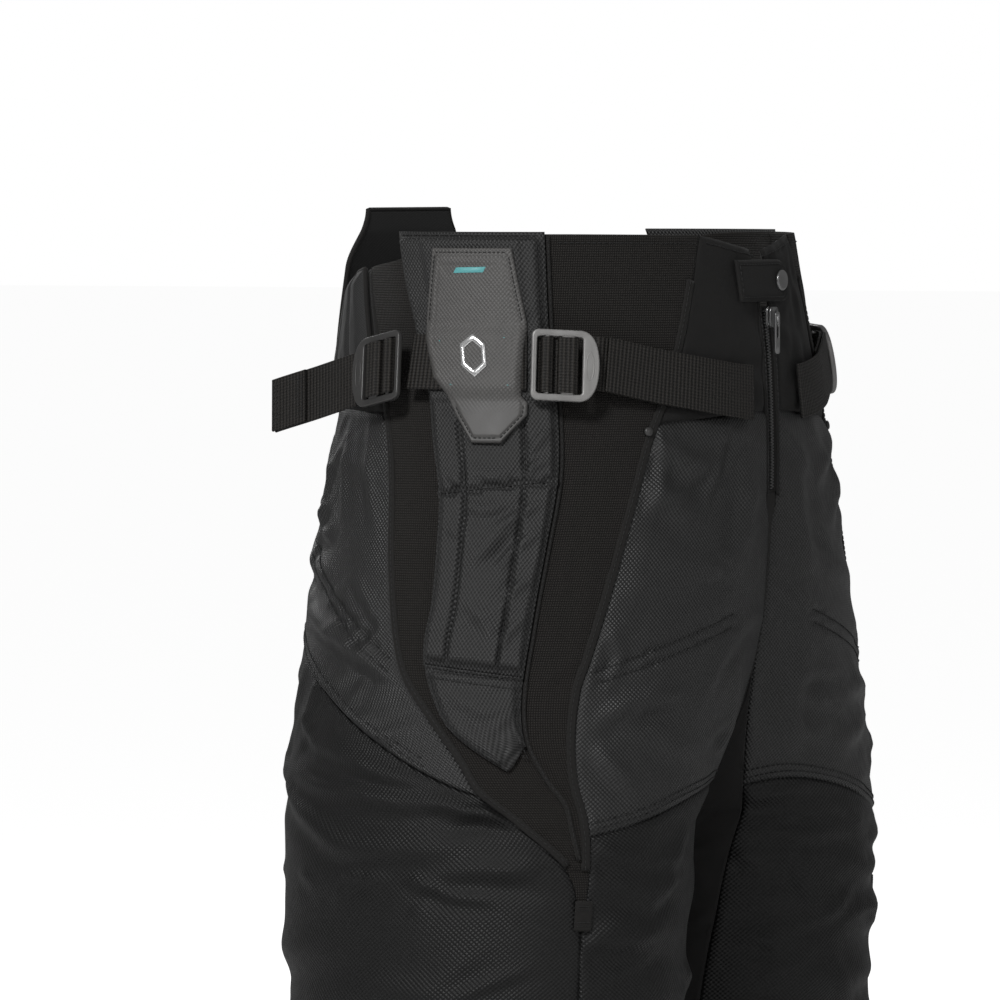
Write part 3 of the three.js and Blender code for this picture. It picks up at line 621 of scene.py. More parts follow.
weaves = {
    "shellNylon": {"pattern": "dots", "pitch": (2.6, 2.6), "dark": grey(0.0005), "light": grey(0.034),
                   "rough": 0.45, "shine": 0.5, "sheen": 0.0, "fuzz": 5, "contrast": 0.88, "depth": 0.5},
    "ballistic": {"pattern": "dots", "pitch": (2.9, 2.6), "dark": grey(0.0003), "light": grey(0.0125),
                  "rough": 0.5, "shine": 0.34, "sheen": 0.0, "fuzz": 6, "contrast": 0.85, "depth": 0.45},
    "padMesh": {"pattern": "dots", "pitch": (2.1, 3.0), "dark": grey(0.001), "light": grey(0.052),
                "rough": 0.55, "shine": 0.4, "sheen": 0.04, "fuzz": 4, "contrast": 0.82, "depth": 0.5},
    "stretch": {"pattern": "grid", "pitch": (2.8, 2.8), "dark": grey(0.001, 0.06), "light": grey(0.034, 0.08),
                "rough": 0.85, "shine": 0.2, "sheen": 0.08, "fuzz": 3, "contrast": 0.82, "depth": 0.4},
    "twill": {"pattern": "dots", "pitch": (1.3, 1.0), "dark": grey(0.006, 0.03), "light": grey(0.018, 0.03),
              "rough": 0.8, "shine": 0.25, "sheen": 0.1, "fuzz": 4, "contrast": 0.5, "depth": 0.12},
    "webbing": {"pattern": "ribs", "pitch": (2.6, 1.8), "dark": grey(0.0005, 0.12), "light": grey(0.026, 0.12),
                "rough": 0.66, "shine": 0.36, "sheen": 0.0, "fuzz": 2, "contrast": 0.92, "depth": 0.7},
    "padKnit": {"pattern": "dots", "pitch": (1.6, 1.6), "dark": grey(0.014), "light": grey(0.036),
                "rough": 0.7, "shine": 0.3, "sheen": 0.15, "fuzz": 5, "contrast": 0.5, "depth": 0.15},
    "linerKnit": {"pattern": "dots", "pitch": (2.4, 3.2), "dark": grey(0.008), "light": grey(0.03),
                  "rough": 0.85, "shine": 0.2, "sheen": 0.2, "fuzz": 5, "contrast": 0.7, "depth": 0.35},
    "tape": {"pattern": "dots", "pitch": (1.0, 1.0), "dark": grey(0.007, 0.05), "light": grey(0.022, 0.05),
             "rough": 0.8, "shine": 0.25, "sheen": 0.15, "fuzz": 3, "contrast": 0.5, "depth": 0.1},
}
moulds = {
    "buckleSatin": {"dark": grey(0.2, 0.02), "light": grey(0.33, 0.02), "rough": 0.36, "shine": 0.6,
                    "metal": 0.25, "depth": 0.03},
    "buckleDark": {"dark": grey(0.028, 0.02), "light": grey(0.055, 0.02), "rough": 0.36, "depth": 0.03},
    "thread": {"dark": grey(0.008), "light": grey(0.02), "rough": 0.7, "grain": 0.2, "depth": 0.05},
    "zipMetal": {"dark": grey(0.2), "light": grey(0.34), "rough": 0.32, "metal": 0.85, "depth": 0.03},
    "emblemMetal": {"dark": grey(0.72), "light": grey(0.9), "rough": 0.2, "metal": 0.85, "depth": 0.01},
    "labelInk": {"dark": (0.1, 0.36, 0.38), "light": (0.14, 0.46, 0.47), "rough": 0.45, "depth": 0.01},
    "guardPlastic": {"dark": grey(0.06), "light": grey(0.085), "rough": 0.45, "depth": 0.08},
    "guardFoam": {"dark": grey(0.035), "light": grey(0.06), "rough": 0.9, "grain": 1.2, "depth": 0.3},
}
paints = {name: wovenFinish(name, weave) for name, weave in weaves.items()}
paints.update({name: mouldedFinish(name, mould) for name, mould in moulds.items()})
paints["badgeRubber"] = rubberFinish("badgeRubber", {
    "dark": grey(0.05, 0.03), "light": grey(0.12, 0.03), "pitch": 2.1, "fade": (434, 448), "rough": 0.5,
    "depth": 0.3})
print("finishes made")


# meshes of several parts
def shellOf(outer, inner):
    # the outer grid, the inner one turned over, and a wall between their borders
    rows, columns = outer.shape[:2]
    count = rows * columns
    index = np.arange(count).reshape(rows, columns)
    border = borderOf(index)
    after = np.roll(border, -1)
    wall = np.stack([after, border, border + count, after + count], -1)
    faces = [gridFaces(rows, columns), gridFaces(rows, columns, True, start=count), wall]
    return np.concatenate([outer.reshape(-1, 3), inner.reshape(-1, 3)]), faces


def sweep(path, sideways, outward, section, closed=False):
    # a closed section of sideways and outward offsets carried along a path, with flat ends unless it closes
    section = np.asarray(section, float)
    section = section if section.ndim == 3 else np.broadcast_to(section, (len(path), *section.shape))
    grid = path[:, None] + sideways[:, None] * section[..., :1] + outward[:, None] * section[..., 1:]
    points, faces = looped(grid) if closed else capped(grid)
    uv = np.stack(np.broadcast_arrays(lengthAlong(path)[:, None], lengthAlong(section[0])[None]), -1)
    return points, faces, uv.reshape(-1, 2)


def cordRound(path, outward, radius):
    # a round cord along a closed path
    along = unit(np.roll(path, -1, 0) - np.roll(path, 1, 0))
    ring = np.linspace(0, 2 * np.pi, 8, endpoint=False)
    section = radius * np.stack([np.sin(ring), np.cos(ring)], -1)
    return sweep(path, unit(np.cross(along, outward)), outward, section, closed=True)


def volume(points, faces):
    total = 0.0
    for group in faces:
        corner = points[group]
        for k in range(1, group.shape[1] - 1):
            total += (corner[:, 0] * np.cross(corner[:, k], corner[:, k + 1])).sum()
    return total


def joined(parts):
    # several closed parts as one mesh, each turned to face outwards
    points, faces, uvs, start = [], [], [], 0
    for part in parts:
        where, groups = np.asarray(part[0], float), part[1]
        if volume(where - where.mean(0), groups) < 0:
            groups = [group[:, ::-1] for group in groups]
        points.append(where)
        faces += [group + start for group in groups]
        uvs.append(part[2] if len(part) > 2 else np.zeros((len(where), 2)))
        start += len(where)
    return np.concatenate(points), faces, np.concatenate(uvs)


def solid(name, parts, paint):
    points, faces, uv = joined(parts)
    return makeMesh(name, points, faces, uv, paints[paint])


def shellSolid(name, outer, inner, uv, paint):
    uv = uv.reshape(-1, 2)
    return solid(name, [(*shellOf(outer, inner), np.concatenate([uv, uv]))], paint)


def roundedBar(half, low, high, radius, steps=4):
    # a rounded rectangle, over the top towards +sideways and back below
    turn = np.linspace(0, np.pi / 2, steps)
    corners = [(radius - half, high - radius, np.pi), (half - radius, high - radius, np.pi / 2),
               (half - radius, low + radius, 0), (radius - half, low + radius, -np.pi / 2)]
    return np.concatenate([np.stack([x + radius * np.cos(start - turn), z + radius * np.sin(start - turn)], -1)
                           for x, z, start in corners])


def skinNormal(side, angle, height):
    round_ = skin(side, np.add(angle, 0.4), height) - skin(side, np.subtract(angle, 0.4), height)
    climb = skin(side, angle, np.add(height, 0.5)) - skin(side, angle, np.subtract(height, 0.5))
    return unit(np.cross(round_, climb) * -side)


def lineOn(side, angle, height, lift=0.0):
    # a line on the skin: its points, its direction, the way across it towards the front, and outwards
    angle, height = np.broadcast_arrays(np.asarray(angle, float), np.asarray(height, float))
    points, outward = skin(side, angle, height, lift), skinNormal(side, angle, height)
    along = unit(np.gradient(points, axis=0))
    return points, along, unit(np.cross(along, outward) * -side), outward


def evenly(points, pitch, *others):
    # places spaced evenly along a line, with whatever else belongs to its points
    length = lengthAlong(points)
    at = (np.arange(int(length[-1] / pitch)) + 0.5) * pitch
    pick = lambda values: np.stack([np.interp(at, length, column) for column in np.asarray(values).T], -1)
    return [pick(values) for values in (points, *others)]


thread = {"pitch": 3.3, "length": 2.5, "radius": 0.34, "sides": 5}


def stitchesAlong(points, outward, pitch=None, length=None, radius=None):
    # small rounded bars, end to end with a gap, lying along a line
    pitch, length, radius = pitch or thread["pitch"], length or thread["length"], radius or thread["radius"]
    place, out, along = evenly(points, pitch, outward, unit(np.gradient(points, axis=0)))
    along, out = unit(along), unit(out)
    across_ = unit(np.cross(along, out))
    turn = np.arange(thread["sides"]) * 2 * np.pi / thread["sides"]
    ends, girth = np.array([-0.5, -0.34, 0.34, 0.5]) * length, np.array([0.35, 1, 1, 0.35]) * radius
    shape = np.stack(np.broadcast_arrays(ends[:, None], girth[:, None] * np.cos(turn),
                                         girth[:, None] * np.sin(turn)), -1).reshape(-1, 3)
    frame_ = np.stack([along, across_, out], 1)
    where = place[:, None] + shape[None] @ frame_
    ring, count = len(turn), len(shape)
    one = gridFaces(4, ring, wrap=True)
    start = np.arange(len(place))[:, None, None] * count
    caps = np.stack([np.arange(ring)[::-1], np.arange(ring) + 3 * ring])
    faces = [(one[None] + start).reshape(-1, 4), (caps[None] + start).reshape(-1, ring)]
    return where.reshape(-1, 3), faces


# the layers of the pants: shell, pads, badge and belt
layers = {"shell": 1.6, "seam": -0.9, "padFoot": 0.9, "padRim": 4.6, "padFace": 8.6, "belt": 11.6,
          "badge": 13.6, "badgeOver": 16.1, "buckle": 14.6}
belt = {"width": 32.0, "thick": 1.5, "keeper": (-5.8, 22.6)}
topRow = level(body["top"])


class Panel:
    # a grid of cloth on one side, held along some lines and let loose between them
    def __init__(self, side, edges, lift, spacing=4.0):
        self.side = side
        self.angle, self.height = patch(*edges, spacing=spacing, inset=0.0)
        self.base = skin(side, self.angle, self.height)
        self.out = gridNormals(self.base, side)
        rows, columns = self.angle.shape
        self.pinned = np.zeros((rows, columns))
        self.pinned[[0, -1]] = self.pinned[:, [0, -1]] = 1
        self.lift = np.where(self.pinned > 0, lift[0], lift[1])
        self.spacing = spacing

    def holdLine(self, angles, heights, lift, width=0.6):
        # grid points within a cell of a line are held at a lift
        scale = perDegree(self.angle.mean(), self.height.mean())
        line = np.stack([np.asarray(angles, float) * scale, np.broadcast_to(heights, np.shape(angles))], -1)
        here = np.stack([self.angle * scale, self.height], -1).reshape(-1, 1, 2)
        near = np.sqrt(((here - line[None]) ** 2).sum(-1)).min(1).reshape(self.angle.shape)
        held = near < width * self.spacing
        self.pinned[held] = 1
        self.lift[held] = lift

    def place(self):
        self.points = self.base + self.out * self.lift[..., None]

    def finished(self, times=2, thick=1.6, foot=None):
        # the finer outer grid and an inner one, thick mm below it or at a foot above the skin
        outer = finer(self.points, times)
        normal = gridNormals(outer, self.side)
        angle, height = finer(self.angle, times), finer(self.height, times)
        inner = outer - normal * thick if foot is None else skin(self.side, angle, height, foot)
        return outer, inner, clothUv(angle, height)

    def on(self, angles, heights, lift=0.0):
        # points of a line lying on the cloth, from the nearest grid points' own moves
        scale = perDegree(self.angle.mean(), self.height.mean())
        here = np.stack([self.angle.ravel() * scale, self.height.ravel()], -1)
        line = np.stack([np.asarray(angles, float) * scale, np.broadcast_to(heights, np.shape(angles))], -1)
        far = ((line[:, None] - here[None]) ** 2).sum(-1)
        nearest = np.argsort(far, axis=1)[:, :4]
        weight = 1 / (np.take_along_axis(far, nearest, 1) + 0.3)
        weight /= weight.sum(1, keepdims=True)
        moved = ((self.points - self.base).reshape(-1, 3)[nearest] * weight[..., None]).sum(1)
        out = skinNormal(self.side, angles, heights)
        return skin(self.side, angles, heights) + moved + out * lift, out

    def cut(self):
        # the flat size of the cloth before it was sewn: widest row, longest column and area, in metres
        steps = lambda axis: np.linalg.norm(np.diff(self.base, axis=axis), axis=-1).sum(axis).max() * mm
        a, b = np.diff(self.base, axis=1)[:-1], np.diff(self.base, axis=0)[:, :-1]
        return (steps(1), steps(0)), np.linalg.norm(np.cross(a, b), axis=-1).sum() * mm * mm


def straight(start, end, count=60):
    return np.linspace(start[0], end[0], count), np.linspace(start[1], end[1], count)


topstitches = {  # rows of stitches over the shell: panel, start and end as angle and height
    "front_thigh_panel": [((49.3, 292), (92, 323)), ((51.4, 286), (92, 315))],
    "rear_seat_panel": [((-54, 371), (-4.4, 299)), ((-55, 364), (-4.0, 291))],
}
shellPanels = {  # name: edges, finish, then how the cloth is cut too large: all round, and along a direction
    "front_thigh_panel": ((frontSeam, innerEdge, kneeSeam, thighTop), "shellNylon", 0.012,
                          (0.028, (0.2, 0.3, 1)), 5),
    "front_knee_panel": ((frontSeam, innerEdge, level(20), kneeSeam), "ballistic", 0.014,
                         (0.035, (0, 0.2, 1)), 5),
    "rear_seat_panel": ((rearInnerEdge, rearSeam, seatSeam, seatTop), "shellNylon", 0.012,
                        (0.045, (0.3, -0.5, 1)), 5),
    "rear_leg_panel": ((rearInnerEdge, rearSeam, level(20), seatSeam), "ballistic", 0.016,
                       (0.045, (0.2, 0.35, 1)), 6),
    "front_waist_panel": ((frontSeam, lambda h: angleAtMiddle(h, 7), thighTop, waistTop), "twill",
                          0.006, (0.012, (0, 0, 1)), 2),
    "rear_waist_panel": ((rearInnerEdge, rearSeam, seatTop, waistTop), "twill", 0.006,
                         (0.012, (0, 0, 1)), 2),
    "inner_leg_panel": ((insideLeg, lambda h: 360 - insideLeg(h), level(20), archAt), "twill", 0.006,
                        (0.02, (0, 0, 1)), 2),
    "side_stretch_front": ((padSeam, frontSeam, gussetFoot, waistTop), "stretch", 0.003, (0.004, (0, 0, 1)),
                           1.5),
    "side_stretch_rear": ((rearSeam, padSeam, gussetFoot, waistTop), "stretch", 0.003, (0.004, (0, 0, 1)),
                          1.5),
}
padLines = {  # quilting of the hip pad, as shares of the way across, with their heights
    "left": (0.26, 297, 430), "right": (0.74, 292, 430), "valley": 391, "underBadge": (444, 486),
}
shares = np.linspace(0, 1, 60)
valleyHeights = padLines["valley"] + 7 * shares


def widthAt(share, height):
    return padEdge(height) + share * (padEnd(height) - padEdge(height))


folds = {  # worn-in folds of each panel: the line as angles and heights, its width and its height in mm
    "rear_seat_panel": [
        (((-50, 330), (-34, 318), (-15, 302), (-2, 289)), 8, 5.5), (((-46, 300), (-30, 279), (-12, 262), (0, 252)), 9, 3.5),
        (((-52, 425), (-45, 400), (-45, 368)), 7, 3.5), (((-36, 428), (-33, 405), (-29, 372)), 7, 2.6),
        (((-24, 432), (-20, 400), (-14, 372)), 6, 1.8), (((-70, 372), (-52, 352), (-30, 343)), 8, 3.0),
        (((4, 262), (-6, 255), (-16, 256)), 4, 1.8), (((-90, 410), (-70, 396), (-58, 370)), 10, 3.5),
        (((-20, 345), (-12, 328), (-7, 316)), 5, 1.6), (((-110, 360), (-85, 362), (-64, 392)), 9, 3.0)],
    "rear_leg_panel": [
        (((-52, 236), (-30, 226), (-6, 221), (18, 216)), 7, 3.2), (((-40, 252), (-22, 246), (-4, 234), (10, 229)), 6, 2.6),
        (((-56, 226), (-34, 207), (-14, 188)), 8, 3.0), (((12, 208), (24, 214), (36, 210)), 5, 2.2),
        (((-30, 196), (-6, 190), (22, 194)), 8, 2.8), (((2, 176), (24, 182), (46, 176)), 7, 2.4),
        (((-80, 260), (-66, 238), (-44, 220)), 9, 3.0), (((-100, 150), (-60, 130), (-20, 138)), 12, 3.0),
        (((-40, 96), (-5, 112), (30, 104)), 12, 2.6), (((-120, 92), (-80, 80), (-50, 92)), 12, 2.6)],
    "front_thigh_panel": [
        (((55, 425), (64, 412), (80, 396)), 7, 2.6), (((55, 398), (63, 387), (74, 372)), 8, 2.4),
        (((51, 262), (60, 274), (68, 277), (80, 274)), 7, 3.0), (((52, 250), (60, 236), (68, 226)), 6, 2.4),
        (((54, 336), (70, 344), (88, 352)), 9, 1.8), (((57, 426), (60, 404), (58, 380)), 6, 1.6),
        (((52, 316), (56, 300), (54, 284)), 5, 1.6), (((84, 420), (90, 380), (88, 340)), 12, 2.6),
        (((66, 262), (78, 250), (92, 244)), 8, 2.2), (((96, 300), (106, 270), (110, 240)), 10, 2.6)],
    "front_knee_panel": [
        (((56, 196), (64, 188), (78, 186)), 6, 2.6), (((60, 176), (80, 168), (100, 176)), 8, 2.8),
        (((58, 150), (76, 140), (104, 146)), 10, 2.6), (((70, 112), (96, 104), (130, 116)), 12, 2.6),
        (((60, 84), (86, 70), (120, 78)), 12, 2.4)],
    "hip_pad_cover": [
        (((31, 387), (26, 379), (21, 371)), 3.5, 2.7), (((31, 370), (26, 360), (22, 346)), 3.5, 2.7),
        (((31, 412), (27, 405), (24, 396)), 3.2, 2.3), (((31, 346), (27, 337), (24, 326)), 3.2, 2.4),
        (((31, 324), (27, 314), (25, 304)), 3.0, 2.2), (((12, 385), (17, 381), (23, 384)), 4.0, 2.2),
        (((13, 403), (18, 400), (24, 404)), 4.0, 2.0), (((7, 402), (10, 397), (13, 394)), 3.0, 1.8),
        (((15, 350), (19, 360), (22, 372)), 4.5, 2.0), (((16, 332), (20, 322), (24, 310)), 4.5, 1.8),
        (((9, 372), (12, 368), (15, 366)), 3.2, 1.5), (((31, 428), (28, 422), (26, 414)), 3.2, 2.0)],
    "hip_pad_tip": [(((14, 282), (20, 272), (27, 266)), 5, 1.2), (((22, 258), (27, 262), (31, 272)), 4, 1.0)],
}


def foldField(panel, lines, seed, count, size):
    # each fold is a ridge with a hollow below it, fading out towards its ends; small seeded ones join them
    rng = np.random.default_rng(seed)
    scale = perDegree(panel.angle.mean(), panel.height.mean())
    here = np.stack([panel.angle * scale, panel.height], -1)
    rows, columns = panel.angle.shape
    lines = list(lines)
    for _ in range(count):
        i, j = rng.integers(2, rows - 2), rng.integers(2, columns - 2)
        lean, reach = rng.normal(0.25, 0.5), rng.uniform(10, 34)
        away = np.array([np.cos(lean) * reach / scale, np.sin(lean) * reach])
        middle = np.array([panel.angle[i, j], panel.height[i, j]])
        bent = middle + np.array([0, rng.normal(0, reach * 0.12)])
        lines.append(((middle - away, bent, middle + away), rng.uniform(4, 7.5), rng.uniform(0.4, 1.1) * size))
    field = np.zeros((rows, columns))
    for line, width, high in lines:
        width, line = 0.85 * width, np.array(line, float)
        at = np.linspace(0, 1, 40)
        path = np.stack([np.interp(at, np.linspace(0, 1, len(line)), line[:, k]) for k in (0, 1)], -1)
        for _ in range(6):
            path[1:-1] = (path[:-2] + 2 * path[1:-1] + path[2:]) / 4
        path[:, 0] *= scale
        ahead = unit(np.gradient(path, axis=0))
        away = here[:, :, None] - path
        nearest = (away ** 2).sum(-1).argmin(-1)
        off = np.take_along_axis(away, nearest[..., None, None], 2)[:, :, 0]
        turn = ahead[nearest]
        signed = turn[..., 0] * off[..., 1] - turn[..., 1] * off[..., 0]
        past = (turn * off).sum(-1)
        fade = np.sin(np.pi * np.clip(at[nearest], 0.02, 0.98)) ** 0.7 * np.exp(-(past / width) ** 2)
        field += high * fade * (np.exp(-(signed / width) ** 2) - 0.55 * np.exp(-((signed + 1.7 * width) / width) ** 2))
    return field * smooth(cellsIn(field.shape) * panel.spacing, 0, 9)


made = {}
for hand, side in hands.items():
    for number, (name, (edges, paint, grow, pull, push)) in enumerate(shellPanels.items()):
        panel = Panel(side, edges, (layers["seam"], 0.2), 4.0)
        for start, end in topstitches.get(name, []):
            panel.holdLine(*straight(start, end), -0.4, 0.5)
        panel.job = {"grow": grow, "pull": pull, "push": push, "seed": 11 * number + (side > 0) * 5 + 3,
                     "keep": (-1.0, 6.5)}
        if paint == "stretch":
            panel.lift = np.where(panel.pinned > 0, -0.2, 0.1)
            panel.job["keep"] = (-0.5, 1.6)
        made[name, hand] = panel
    pad = Panel(side, (padEdge, padEnd, tipSeam, topRow), (3.6, layers["padFace"]), 3.0)
    share = (pad.angle - padEdge(pad.height)) / (padEnd(pad.height) - padEdge(pad.height))
    covered = (share > 0.24) & (share < 0.84) & (pad.height > 470) | (
        (pad.height > padLines["underBadge"][0]) & (pad.height < padLines["underBadge"][1]))
    pad.pinned[covered], pad.lift[covered] = 1, 10.2
    pad.pinned[[1, -2]] = pad.pinned[:, [1, -2]] = 1
    pad.lift[[0, -1]] = pad.lift[:, [0, -1]] = 3.6
    pad.lift[[1, -2], 1:-1] = layers["padRim"]
    pad.lift[1:-1, [1, -2]] = layers["padRim"]
    for key in ("left", "right"):
        share, low, high = padLines[key]
        heights = np.linspace(low, high, 80)
        pad.holdLine(widthAt(share, heights), heights, 5.6, 0.5)
    pad.holdLine(widthAt(shares, valleyHeights), valleyHeights, 5.4, 0.55)
    pad.job = {"grow": 0.045, "pull": (0.05, (0, 0, 1)), "push": 9, "seed": 71 + side, "keep": (-1.6, 3.4),
               "bending": 0.4}
    made["hip_pad_cover", hand] = pad
    tip = Panel(side, (padEdge, padEnd, tipFoot, tipSeam), (2.6, 6.0), 3.0)
    tip.pinned[[1, -2]] = tip.pinned[:, [1, -2]] = 1
    tip.lift[[1, -2], 1:-1] = 3.6
    tip.lift[1:-1, [1, -2]] = 3.6
    tip.lift[-1] = 4.6
    tip.job = {"grow": 0.03, "pull": (0.02, (0, 0, 1)), "push": 7, "seed": 91 + side, "keep": (-1.2, 3.2),
               "bending": 0.4}
    made["hip_pad_tip", hand] = tip
for panel in made.values():
    panel.place()
jobs = [dict(panel.job, points=panel.points, side=panel.side, pinned=panel.pinned) for panel in made.values()]
relax(jobs)
smallFolds = {"front_thigh_panel": (22, 1.4), "rear_seat_panel": (30, 1.7), "rear_leg_panel": (44, 1.9),
              "front_knee_panel": (26, 1.9), "inner_leg_panel": (16, 1.5), "hip_pad_cover": (26, 0.7),
              "hip_pad_tip": (6, 0.6), "front_waist_panel": (8, 0.7), "rear_waist_panel": (8, 0.7),
              "side_stretch_front": (10, 0.5), "side_stretch_rear": (8, 0.5)}
for number, ((name, hand), panel, job) in enumerate(zip(made, made.values(), jobs)):
    panel.points = job["points"]
    count, size = smallFolds[name]
    field = foldField(panel, folds.get(name, []), 100 + number, count, size)
    panel.points = panel.points + panel.out * field[..., None]
print("cloth settled")

for (name, hand), panel in made.items():
    if name in ("hip_pad_cover", "hip_pad_tip"):
        outer, inner, uv = panel.finished(2, foot=layers["padFoot"])
        thing = shellSolid(f"{name}_soft_{hand}", outer, inner, uv, "padMesh")
        keep(thing, replaces=[f"{name}_{hand}"])
        continue
    paint = shellPanels[name][1]
    outer, inner, uv = panel.finished(2, layers["shell"])
    thing = shellSolid(f"{name}_cloth_{hand}", outer, inner, uv, paint)
    keep(thing, replaces=[f"{name}_{hand}"])
    flat, area = panel.cut()
    "stretched" if paint == "stretch" else "hung"
    print(f"{name}_{hand} cut {flat[0]:.3f} x {flat[1]:.3f} m, {area:.4f} m2")
print("shell and hip pad made")


# tapes over the seams, and the stitching
def tape(side, angle, height, reach, lift, crown=0.5):
    # a folded tape along a line: flat below, crowned above, reaching so far to either side
    points, along, across_, outward = lineOn(side, angle, height)
    low, high = reach
    t = np.linspace(0, 1, 9)
    top = np.stack([low + (high - low) * t, lift + crown * np.sin(np.pi * t) ** 0.5], -1)
    under = np.stack([np.array([high, low]), np.array([lift - 1.6, lift - 1.6])], -1)
    return sweep(points, across_, outward, np.concatenate([top, under]))


seamTapes = {  # seam, from and to height, reach to the rear and front, lift
    "front": (frontSeam, 180, 512, (-4.6, 0.6), 0.5),
    "rear": (rearSeam, 182, 516, (-0.6, 3.8), 0.5),
    "pad": (lambda h: padSeam(h) - 0.6, 186, 538, (-0.4, 2.0), 1.4),
}
for hand, side in hands.items():
    tapes, rows = [], []
    for seam, low, high, reach, lift in seamTapes.values():
        heights = np.linspace(low, high, 120)
        tapes.append(tape(side, seam(heights), heights, reach, lift))
        middle = 0.62 * sum(reach)
        points, along, across_, outward = lineOn(side, seam(heights), heights)
        rows.append(stitchesAlong(points + across_ * middle + outward * (lift + 0.55), outward))
    keep(solid(f"seam_tapes_{hand}", tapes, "tape"))

    for name, lines in topstitches.items():
        for start, end in lines:
            rows.append(stitchesAlong(*made[name, hand].on(*straight(start, end, 120), 0.25)))
    # double rows beside the cross seams of the shell
    for name, cross, low, high, shift in (("front_thigh_panel", kneeSeam, 52, 150, 4),
                                          ("front_thigh_panel", kneeSeam, 52, 150, 8),
                                          ("rear_seat_panel", seatSeam, -120, 8, 4),
                                          ("rear_seat_panel", seatSeam, -120, 8, 8),
                                          ("front_waist_panel", waistTop, 71, 94, -4),
                                          ("rear_waist_panel", waistTop, -86, -40, -4),
                                          ("side_stretch_front", waistTop, 30, 68, -5)):
        angles = np.linspace(low, high, 200)
        heights = cross(angles) + shift
        keepRow = np.abs(angles) < angleAtMiddle(heights, 4)
        rows.append(stitchesAlong(*made[name, hand].on(angles[keepRow], heights[keepRow], 0.3)))
    # the pad: two rows round its rim, and the quilting
    pad, tip = made["hip_pad_cover", hand], made["hip_pad_tip", hand]
    for inset in (2.2, 4.6):
        heights = np.linspace(300, 537.5 - inset, 120)
        turn = inset / perDegree(10, heights)
        rows.append(stitchesAlong(*pad.on(padEdge(heights) + turn, heights, 0.3)))
        rows.append(stitchesAlong(*pad.on(padEnd(heights) - turn, heights, 0.3)))
        angles = np.linspace(float(padEdge(536)) + 1.5, float(padEnd(536)) - 1.5, 60)
        rows.append(stitchesAlong(*pad.on(angles, 540 - inset + 0 * angles, 0.3)))
        angles = np.linspace(7.2, 32, 60)
        rows.append(stitchesAlong(*tip.on(angles, tipSeam(angles) - 5.6 * (inset > 3) - 1.2, 0.4)))
        heights = np.linspace(243, 292, 60)
        rows.append(stitchesAlong(*tip.on(padEnd(heights) - inset / 2.6, heights, 0.3)))
        heights = np.linspace(239, 292, 70)
        rows.append(stitchesAlong(*tip.on(padEdge(heights) + inset / 2.0, heights, 0.3)))
    for key in ("left", "right"):
        share, low, high = padLines[key]
        heights = np.linspace(low, high, 90)
        rows.append(stitchesAlong(*pad.on(widthAt(share, heights), heights, 0.3)))
    rows.append(stitchesAlong(*pad.on(widthAt(0.04 + 0.92 * shares, valleyHeights), valleyHeights, 0.3)))
    keep(solid(f"stitching_{hand}", rows, "thread"))
# a small domed rivet behind the front seam, under the belt
rivet = {"height": 427, "behindSeam": 2.0, "base": 1.6,
         "profile": np.array([(2.7, -0.6), (2.7, 0.6), (2.2, 1.15), (1.2, 1.5), (0.3, 1.6)])}
for hand, side in hands.items():
    angle = float(frontSeam(rivet["height"])) - rivet["behindSeam"]
    centre, outward = skin(side, angle, rivet["height"], rivet["base"]), skinNormal(side, angle, rivet["height"])
    level_ = unit(np.cross((0.0, 0, 1), outward))
    turn = np.linspace(0, 2 * np.pi, 28, endpoint=False)[None, :, None]
    reach, raised = (rivet["profile"][:, k, None, None] for k in (0, 1))
    round_ = np.cos(turn) * level_ + np.sin(turn) * np.cross(outward, level_)
    dome = capped(centre + reach * round_ + raised * outward)
    keep(solid(f"seam_rivet_{hand}", [dome], "buckleDark"))
print("seams sewn")


# belt: webbing, ladder-lock buckles and the badge over it
buckle = {"length": 39.0, "thick": 3.4, "half": 20.5, "window": (3.0, 29.4), "windowHalf": 16.5, "bar": 1.5,
          "barHeight": 1.7, "fixedBar": 8.967, "sliderBar": 20.933, "sliderTurn": 2.5, "loop": 2.75,
          "corner": 4.0, "edge": 0.9}
seats = {  # end: height over the strap line, droop, from the keeper towards the front or the rear
    "front": {"angle": 23.4, "height": strapHeight + 0.5, "droop": 3.0, "way": 1},
    "rear": {"angle": -6.6, "height": strapHeight - 2.5, "droop": 11.5, "way": -1},
}
tail = {"front": 104.0, "rear": 68.0, "fold": 26.0, "extraDroop": 3.0}


def beltFrame(side, angle, height, way, droop):
    # along the belt towards the buckle's tab, across it, and off the body, turned down by the droop
    round_ = unit(skin(side, angle + 0.5, height) - skin(side, angle - 0.5, height))
    outward = skinNormal(side, angle, height)
    along = round_ * way
    turn = np.radians(-droop if np.cross(outward, along)[2] > 0 else droop)
    along = along * np.cos(turn) + np.cross(outward, along) * np.sin(turn)
    return np.stack([along, np.cross(outward, along), outward])


def placed(part, origin, frame_):
    points, faces = part[0] @ frame_ + origin, part[1]
    return (points, faces, *part[2:])


def stadium(at, half, radius, steps=10):
    # a flat-sided oval round a bar, in x and z
    turn = np.linspace(-np.pi / 2, np.pi / 2, steps)
    right = np.stack([at + half + radius * np.cos(turn), radius * np.sin(turn)], -1)
    left = np.stack([at - half - radius * np.cos(turn), -radius * np.sin(turn)], -1)
    return np.concatenate([right, left])


def ringRound(outline, section, middle):
    # a closed path in x and z with the section's sideways along y and its outward away from the bar
    path = np.stack([outline[:, 0], 0 * outline[:, 0], outline[:, 1] + middle], -1)
    along = unit(np.roll(path, -1, 0) - np.roll(path, 1, 0))
    sideways = alike((0, 1, 0), path)
    return sweep(path, sideways, np.cross(along, sideways), section, closed=True)


